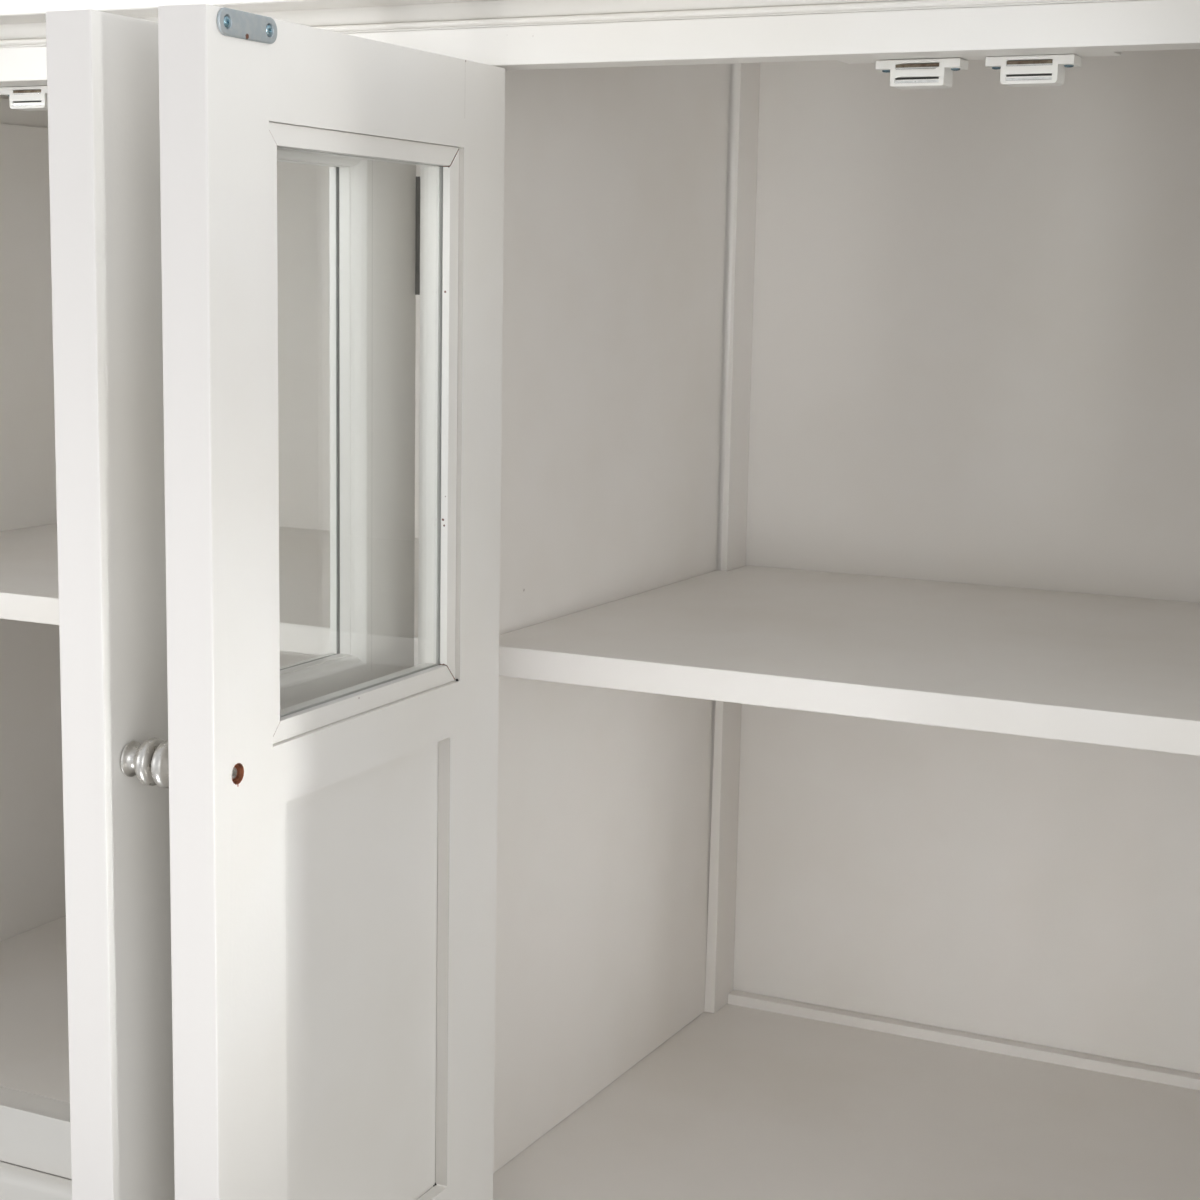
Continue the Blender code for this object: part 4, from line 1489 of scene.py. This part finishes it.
    def _leaf(self, spot: str, moving: bool) -> None:
        """One leaf of a butt hinge with its knuckles and screws.

        Args:
            spot: The lower or the upper hinge.
            moving: True for the leaf on the door, False for the one on the carcass.
        """
        node = f"{self.name}_{'leaf' if moving else 'fixed_leaf'}_{spot}"
        floor = self.hinge.pin.z
        low, high = (corner.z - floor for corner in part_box(f"{self.name}_leaf_{spot}"))
        faces = self.moving_faces if moving else self.fixed_faces
        shape = Shape()
        shape.box((faces[0], -self.hinge.ahead, low), (faces[1], self.leaf_width, high), 0.12 * MM)
        for index in range(0 if moving else 1, self.knuckles, 2):
            self._knuckle(shape, index, low, (high - low) / self.knuckles)
        facing = Matrix.Rotation(math.radians(-90 if moving else 90), 4, "Y")
        for share in self.leaf_screws:
            at = (faces[0], self.leaf_screws_behind, low + (high - low) * share)
            self.leaf_screw.add(shape, Matrix.Translation(at) @ facing)
        shape.move(self.hinge.matrix() if moving else self.hinge.shut())
        body = self.body if moving else Body.CARCASS
        shape.done(f"{node}_rolled", body, Slot.ZINC, [self.hinge_finish], [node])

    def _knuckle(self, shape: Shape, index: int, low: float, pitch: float) -> None:
        """Add one knuckle of a hinge.

        Args:
            shape: The leaf that takes it.
            index: Its number from below.
            low: Foot of the hinge.
            pitch: Height of a knuckle with its play.
        """
        play, soft = 0.15 * MM, 0.2 * MM
        foot, head = low + index * pitch + play, low + (index + 1) * pitch - play
        profile = [
            (0.0, foot), (self.barrel - soft, foot), (self.barrel, foot + soft),
            (self.barrel, head - soft), (self.barrel - soft, head), (0.0, head),
        ]
        pin = Matrix.Translation((-self.hinge.pin_u, -self.hinge.ahead, 0))
        shape.turned(profile, 28, pin)


@dataclass
class LeftDoor(Door):
    """Door 1, with a few small knocks near the free edge and at the bottom rail."""

    number: int = 1
    spots: tuple[tuple[Any, ...], ...] = (
        (262.0, 25.0, 571.0, 0.8), (83.0, 25.0, 655.0, 1.0, 0.7),
        (57.3, 20.0, 201.0, 0.5), (190.0, 22.5, 51.0, 0.4),
    )


@dataclass
class CentreLeftDoor(Door):
    """Door 2, seen edge on and through its neighbour's glass, with nicks round its own."""

    number: int = 2
    mitre_gaps: tuple[float, ...] = (0.08 * MM, 0.18 * MM, 0.08 * MM, 0.1 * MM)
    spots: tuple[tuple[Any, ...], ...] = (
        (212.5, 3.0, 124.8, 0.7, 0.7), (212.5, 3.0, 252.1, 0.6, 0.7), (120.0, 25.0, 12.0, 0.9, 0.6),
    )


@dataclass
class CentreRightDoor(Door):
    """Door 3, whose inner side is seen: open mitres, cracked joints, chips on the bead and painted shade
    in its gaps.
    """

    number: int = 3
    mitre_gaps: tuple[float, ...] = (0.08 * MM, 0.1 * MM, 0.38 * MM, 0.42 * MM)
    spots: tuple[tuple[Any, ...], ...] = (
        (257.7, 25.0, 341.2, 0.6, 0.8, FRESH_CHIP), (45.8, 25.0, 0.5, 0.6, 0.5),
        (57.3, 20.0, 119.5, 0.55), (57.3, 19.6, 240.0, 0.6), (57.3, 20.3, 243.1, 0.5),
        (57.3, 21.0, 227.4, 0.35, 0.6), (148.1, 22.5, 320.6, 0.4, 0.8), (191.5, 22.5, 315.8, 0.35, 0.8),
        # The near-black marks are painted shade in the open mitres and corner gaps of the bead.
        (58.6, 20.6, 55.2, 0.6), (60.4, 20.2, 55.2, 0.45), (57.4, 21.6, 54.9, 0.5, 1.0, PAINTED_GAP_SHADE),
        (58.2, 18.4, 318.2, 0.9, 1.0, PAINTED_GAP_SHADE), (57.0, 20.6, 318.6, 0.5, 0.8),
        (47.4, 23.4, 328.8, 0.9, 1.0, PAINTED_GAP_SHADE), (49.0, 22.5, 327.2, 0.35),
        (56.9, 17.6, 616.6, 1.1, 1.0, PAINTED_GAP_SHADE), (59.0, 17.5, 616.6, 0.6, 1.0, PAINTED_GAP_SHADE),
    )

    def knocks(self) -> Blemishes:
        """Add hairlines at the top rail's joint and along the bead to the chips and the painted gap shade.

        Returns:
            The blemishes, the lowest first.
        """
        rail = tuple(self.hinge.point(46.3 * MM, 25 * MM, 0.0))
        bead = tuple(self.hinge.point(47.45 * MM, 22.5 * MM, 58.0 * MM))
        return (
            Seam(rail, self.across(), DOWN, 30.0 * MM, 0.24 * MM, 0.42, RAIL_CRACK),
            Seam(bead, self.across(), DOWN, 262.0 * MM, 0.27 * MM, 0.75, BEAD_CRACK),
            *super().knocks(),
        )

    def plate_rust(self) -> tuple[Mark, ...]:
        """A spot of rust at the lower edge."""
        return (self.mark(247.9, 26.3, 10.3, 1.1, 1.0, RUST, 0.8),)


@dataclass
class RightDoor(Door):
    """Door 4, with a few small knocks at the lower corner and on the bead."""

    number: int = 4
    spots: tuple[tuple[Any, ...], ...] = (
        (270.0, 25.0, 640.0, 1.0, 0.8), (30.0, 25.0, 430.0, 0.6, 0.6),
        (57.3, 20.5, 88.0, 0.4), (120.0, 22.5, 322.0, 0.5),
    )


DOORS = (LeftDoor, CentreLeftDoor, CentreRightDoor, RightDoor)


@dataclass(frozen=True)
class Lamp:
    """A rectangular lamp: its place, the point it faces, its width and height and its watts."""

    name: str
    at: Place
    aim: Place
    size: tuple[float, float]
    power: float
    spread: float = 180.0
    colour: Colour = (0.97, 0.985, 1.0)


@dataclass
class Studio:
    """Floor, pale surroundings, soft lamps and the camera."""

    eye: Place = (0.5977, -1.0997, 0.6757)
    yaw: float = 26.159
    pitch: float = 8.849
    roll: float = 1.056
    focal_px: float = 2068.4
    frame_px: float = 1200.0
    sensor: float = 36.0
    floor_half: float = 4.0
    floor_tones: tuple[Colour, Colour] = ((0.80, 0.79, 0.77), (0.84, 0.83, 0.81))
    world_light: float = 0.77
    world_colour: Colour = (0.96, 0.98, 1.0)
    seen_colour: Colour = (1.0, 1.0, 0.995)
    lamps: tuple[Lamp, ...] = (
        Lamp("key_high", (2.20, -0.785, 0.79), (0.0, -0.345, 0.79), (0.29, 0.14), 0.106, spread=16.0),
        Lamp("key_low", (2.20, -0.620, 0.42), (0.0, -0.345, 0.42), (0.077, 0.10), 0.102, spread=12.2),
        Lamp("low_inside", (0.75, -2.1, 0.30), (0.25, 0.30, 0.22), (0.4, 0.3), 0.12, spread=16.0),
        Lamp("left_inside", (-0.45, -2.2, 0.70), (-0.33, 0.34, 0.58), (0.3, 0.4), 0.233, spread=16.0),
        Lamp("high_inside", (1.3, -1.7, 0.45), (0.16, 0.20, 0.75), (0.3, 0.2), 0.095, spread=18.0),
        Lamp("wall_low", (1.6, -1.6, 0.35), (0.05, 0.10, 0.33), (0.3, 0.2), 0.082, spread=12.0),
        Lamp("rail_left", (-1.3, -1.5, 1.05), (-0.10, -0.09, 0.815), (0.3, 0.15), 0.07, spread=14.0),
        Lamp("below", (0.0, -0.62, 0.06), (0.0, -0.10, 0.83), (0.3, 0.3), 0.11, spread=30.0),
        Lamp("right", (2.0, -1.9, 0.8), (0.2, 0.0, 0.45), (1.2, 1.2), 8.8),
        Lamp("left", (-1.5, -2.1, 0.9), (0.1, 0.0, 0.6), (1.2, 1.2), 5.6),
    )

    def build(self) -> None:
        """Make everything that isn't the buffet."""
        self._camera()
        self._floor()
        self._surroundings()
        self._lamps()
        bpy.context.scene.view_settings.view_transform = "Standard"

    def _camera(self) -> None:
        """Put the camera where the photograph was taken from."""
        yaw, pitch, roll = map(math.radians, (self.yaw, self.pitch, self.roll))
        ahead = Vector((-math.sin(yaw), math.cos(yaw), 0))
        right = Vector((math.cos(yaw), math.sin(yaw), 0))
        up = Vector((0, 0, 1))
        look = ahead * math.cos(pitch) - up * math.sin(pitch)
        top = up * math.cos(pitch) + ahead * math.sin(pitch)
        x = right * math.cos(roll) + top * math.sin(roll)
        y = top * math.cos(roll) - right * math.sin(roll)
        data = bpy.data.cameras.new("camera")
        data.sensor_width = self.sensor
        data.lens = self.sensor * self.focal_px / self.frame_px
        data.clip_start = 0.02
        camera = bpy.data.objects.new("camera", data)
        camera.matrix_world = Matrix.Translation(self.eye) @ Matrix((x, y, -look)).transposed().to_4x4()
        bpy.context.scene.collection.objects.link(camera)
        bpy.context.scene.camera = camera

    def _floor(self) -> None:
        """A plain pale floor."""
        bm = bmesh.new()
        bmesh.ops.create_grid(bm, x_segments=1, y_segments=1, size=self.floor_half)
        mesh = bpy.data.meshes.new("floor")
        bm.to_mesh(mesh)
        bm.free()
        floor = bpy.data.objects.new("floor", mesh)
        bpy.context.scene.collection.objects.link(floor)
        paint = Paint("pale_floor")
        cloud = paint.noise(1.5, 3.0)
        paint.set(base_color=paint.mix(cloud, *self.floor_tones), roughness=0.7)
        mesh.materials.append(paint.material)

    def _surroundings(self) -> None:
        """A pale world: one level to look at and in mirrors, another to light with."""
        world = bpy.data.worlds.new("surroundings")
        bpy.context.scene.world = world
        world.use_nodes = True
        nodes = Nodes(world.node_tree)
        light = nodes.tree.nodes["Background"]
        nodes.feed(light.inputs["Color"], self.world_colour)
        nodes.feed(light.inputs["Strength"], self.world_light)
        seen = nodes.add("ShaderNodeBackground", {}, {"Color": self.seen_colour, "Strength": 1.0})
        bounced = nodes.ray("Diffuse Depth").smaller(1.0)
        through_glass = nodes.ray("Is Transmission Ray") * (1.0 - bounced)
        looked_at = nodes.ray("Is Camera Ray").larger(through_glass)
        inputs = {0: looked_at, 1: light.outputs[0], 2: seen.outputs[0]}
        mix = nodes.add("ShaderNodeMixShader", {}, inputs)
        nodes.feed(nodes.tree.nodes["World Output"].inputs["Surface"], mix.outputs[0])

    def _lamps(self) -> None:
        """Soft rectangular lamps, hidden from the camera."""
        for lamp in self.lamps:
            data = bpy.data.lights.new(lamp.name, "AREA")
            data.shape = "RECTANGLE"
            data.size, data.size_y = lamp.size
            data.energy = lamp.power
            data.color = lamp.colour
            data.spread = math.radians(lamp.spread)
            holder = bpy.data.objects.new(lamp.name, data)
            holder.location = lamp.at
            way = Vector(lamp.aim) - Vector(lamp.at)
            holder.rotation_euler = way.to_track_quat("-Z", "Z").to_euler()
            holder.visible_camera = False
            bpy.context.scene.collection.objects.link(holder)


def main() -> None:
    """Build the buffet's looks and the studio."""
    logging.basicConfig(level=logging.INFO, format="%(name)s: %(message)s")
    finishes = Finishes.make()
    Carcass(finishes).build()
    Cornice(finishes).build()
    Catches(finishes).build()
    for door in DOORS:
        door(finishes).build()
    Studio().build()


if __name__ == "__main__":
    main()
